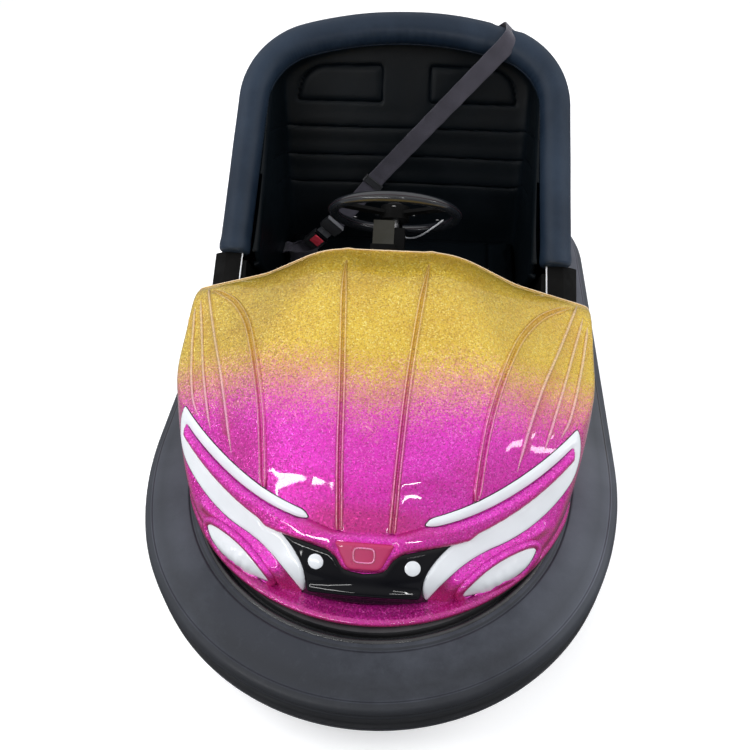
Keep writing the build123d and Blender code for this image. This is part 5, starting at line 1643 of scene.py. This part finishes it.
def sill_trim():
    """Black cover over the tub's edge between the bonnet and the roll, with a white bead inside as a painted
    highlight.
    """
    edge = rim_line(0.0, 0.0)
    for side, way in SIDES:
        run = [(x, u) for x, u in edge if x > 0 and u < PAD_FOOT + 0.022]
        run = evened(run, 40, closed=False)
        path = np.array([rim_place(way * x, u) for x, u in run])
        shape = [(-0.0385, 0.0445), (-0.030, 0.0445), (0.0055, 0.0075), (0.0055, -0.033), (0.0002, -0.033),
                 (0.0002, 0.0035), (-0.0385, 0.0385)]
        section = [(u, a * way) for u, a in rounded(shape, 0.0024, 4)]
        swept("sill_cap_" + side, path, section, "dark", up=RIM_OUT, sharp=40)
        # White bead along the cover's inner edge: a painted highlight.
        inner = np.array([rim_place(way * (x - 0.0340), u, 0.0040) for x, u in run])
        swept("sill_highlight_bead_" + side, inner, circle(0.0018, 8), "wire")


def on_tail(skin, u, v):
    """Place and outward normal on the rear moulding, straight in front of a point behind the car."""
    place, normal, _, _ = skin.ray_cast(Vector((u, 1.4, v)), Vector((0, -1, 0)))
    if normal.y < 0:
        normal = -normal
    return np.array(place), np.array(normal)


def bolt(name, centre, axis, radius, look="zinc", body="car"):
    """Domed bolt on a washer."""
    r = radius
    head = rounded([(0.0, -0.5 * r), (1.35 * r, -0.5 * r), (1.35 * r, 0.18 * r), (0.95 * r, 0.22 * r),
                    (0.9 * r, 0.55 * r), (0.45 * r, 0.85 * r), (0.0, 0.9 * r)], 0.12 * r, 3)
    turned(name, np.maximum(head, (0.0001, -1)), centre, axis, look, body, 24)


TAIL_LENS = ((0.150, 0.560), (0.235, 0.583), (0.322, 0.622), (0.338, 0.588), (0.250, 0.549),
             (0.158, 0.532))
TAIL_CREASES = (((0.108, 0.820), (0.116, 0.640), (0.124, 0.460), (0.142, 0.285)),
                ((0.345, 0.560), (0.300, 0.500), (0.262, 0.420), (0.246, 0.290)))
CHARGING_Z = 0.345


def tail():
    """Rear moulding: lenses, raised creases, charging cap, and bolts along its foot."""
    skin = search_tree(("rear_body",))
    for side, way in SIDES:
        lens = rounded([(way * x, z) for x, z in TAIL_LENS], 0.014, 6)
        border = evened(lens, 120)
        bezel = smoothed(widened(border, 0.006), 3)
        patch("tail_lens_" + side, skin, lens, "lens",
              lambda gap, u, v: 0.002 + dome(gap, 0.006, 0.005), on=on_tail)
        nose_line("tail_lens_frame_" + side, skin, bezel, 0.0062, "rear", on=on_tail)
        nose_line("tail_lens_seam_" + side, skin, border, 0.0012, "seam", 0.0024, on=on_tail)
        for number, line in enumerate(TAIL_CREASES):
            run = smoothed(evened(line, 70, closed=False), 14, closed=False)
            path, up = seated(skin, run * (way, 1), on_tail)
            along = np.linspace(0, 1, len(path))
            size = 0.12 + 0.88 * step(0, 0.18, along) * (1 - step(0.8, 1.0, along))
            swept(f"tail_crease_{number + 1}_{side}", smoothed(path, 6, closed=False),
                  rib_section("crease", 4.5, 24.0, way), "rear", up=up, sharp=70, scale=size)
    centre, normal = on_tail(skin, 0.0, CHARGING_Z)
    cap = rounded([(0.0, -0.004), (0.040, -0.004), (0.040, 0.004), (0.033, 0.006), (0.031, 0.011),
                   (0.012, 0.0135), (0.0, 0.0135)], 0.0025, 4)
    turned("charging_cap", np.maximum(cap, (0.0002, -1)), centre, normal, "plastic", count=56)
    tab = centre + normal * 0.010 - np.array((0, 0, 0.036))
    slide_box("charging_cap_tab", tab, Vector((0, 0, 1)), Vector(normal), (0.020, 0.018, 0.006), "plastic")
    for number, spot in enumerate(((0.0, 0.0385), (0.0, -0.050), (0.046, 0.0), (-0.046, 0.0))):
        place, out = on_tail(skin, spot[0], CHARGING_Z + spot[1])
        bolt(f"charging_cap_screw_{number + 1}", place, out, 0.004)
    foot = plan_outline(skin, BODY_BASE + 0.030, (0, 0.2), 300, -35.0, 215.0)
    foot = evened(foot, 14, closed=False)
    low, high = corners("belt_anchor")
    bolt("belt_anchor_bolt", ((low.x + high.x) / 2, high.y - 0.0004, (low.z + high.z) / 2), (0, 1, 0), 0.006)
    for number, place in enumerate(foot[1:-1]):
        way = Vector((place[0], place[1] - 0.2, 0)).normalized()
        spot, normal, _, _ = skin.ray_cast(Vector(place) + way * 0.1, -way)
        if spot:
            bolt(f"body_bolt_{number + 1}", spot, normal if normal @ way > 0 else -normal, 0.0058)


def running_gear():
    """Bolts in the rear hubs."""
    for side, way in SIDES:
        low, high = corners("rear_hub_" + side)
        middle = (low + high) / 2
        reach = (high.z - low.z) / 2 * 0.62
        face = high.x if way > 0 else low.x
        for k in range(4):
            t = pi / 4 + k * pi / 2
            centre = Vector((face - way * 0.0005, middle.y + reach * cos(t), middle.z + reach * sin(t)))
            bolt(f"hub_bolt_{side}_{k + 1}", centre, (way, 0, 0), 0.0042, "zinc", "rear_wheel_" + side)


wheel_trim()
column_head()
sill_trim()
tail()
running_gear()
print("trim done")
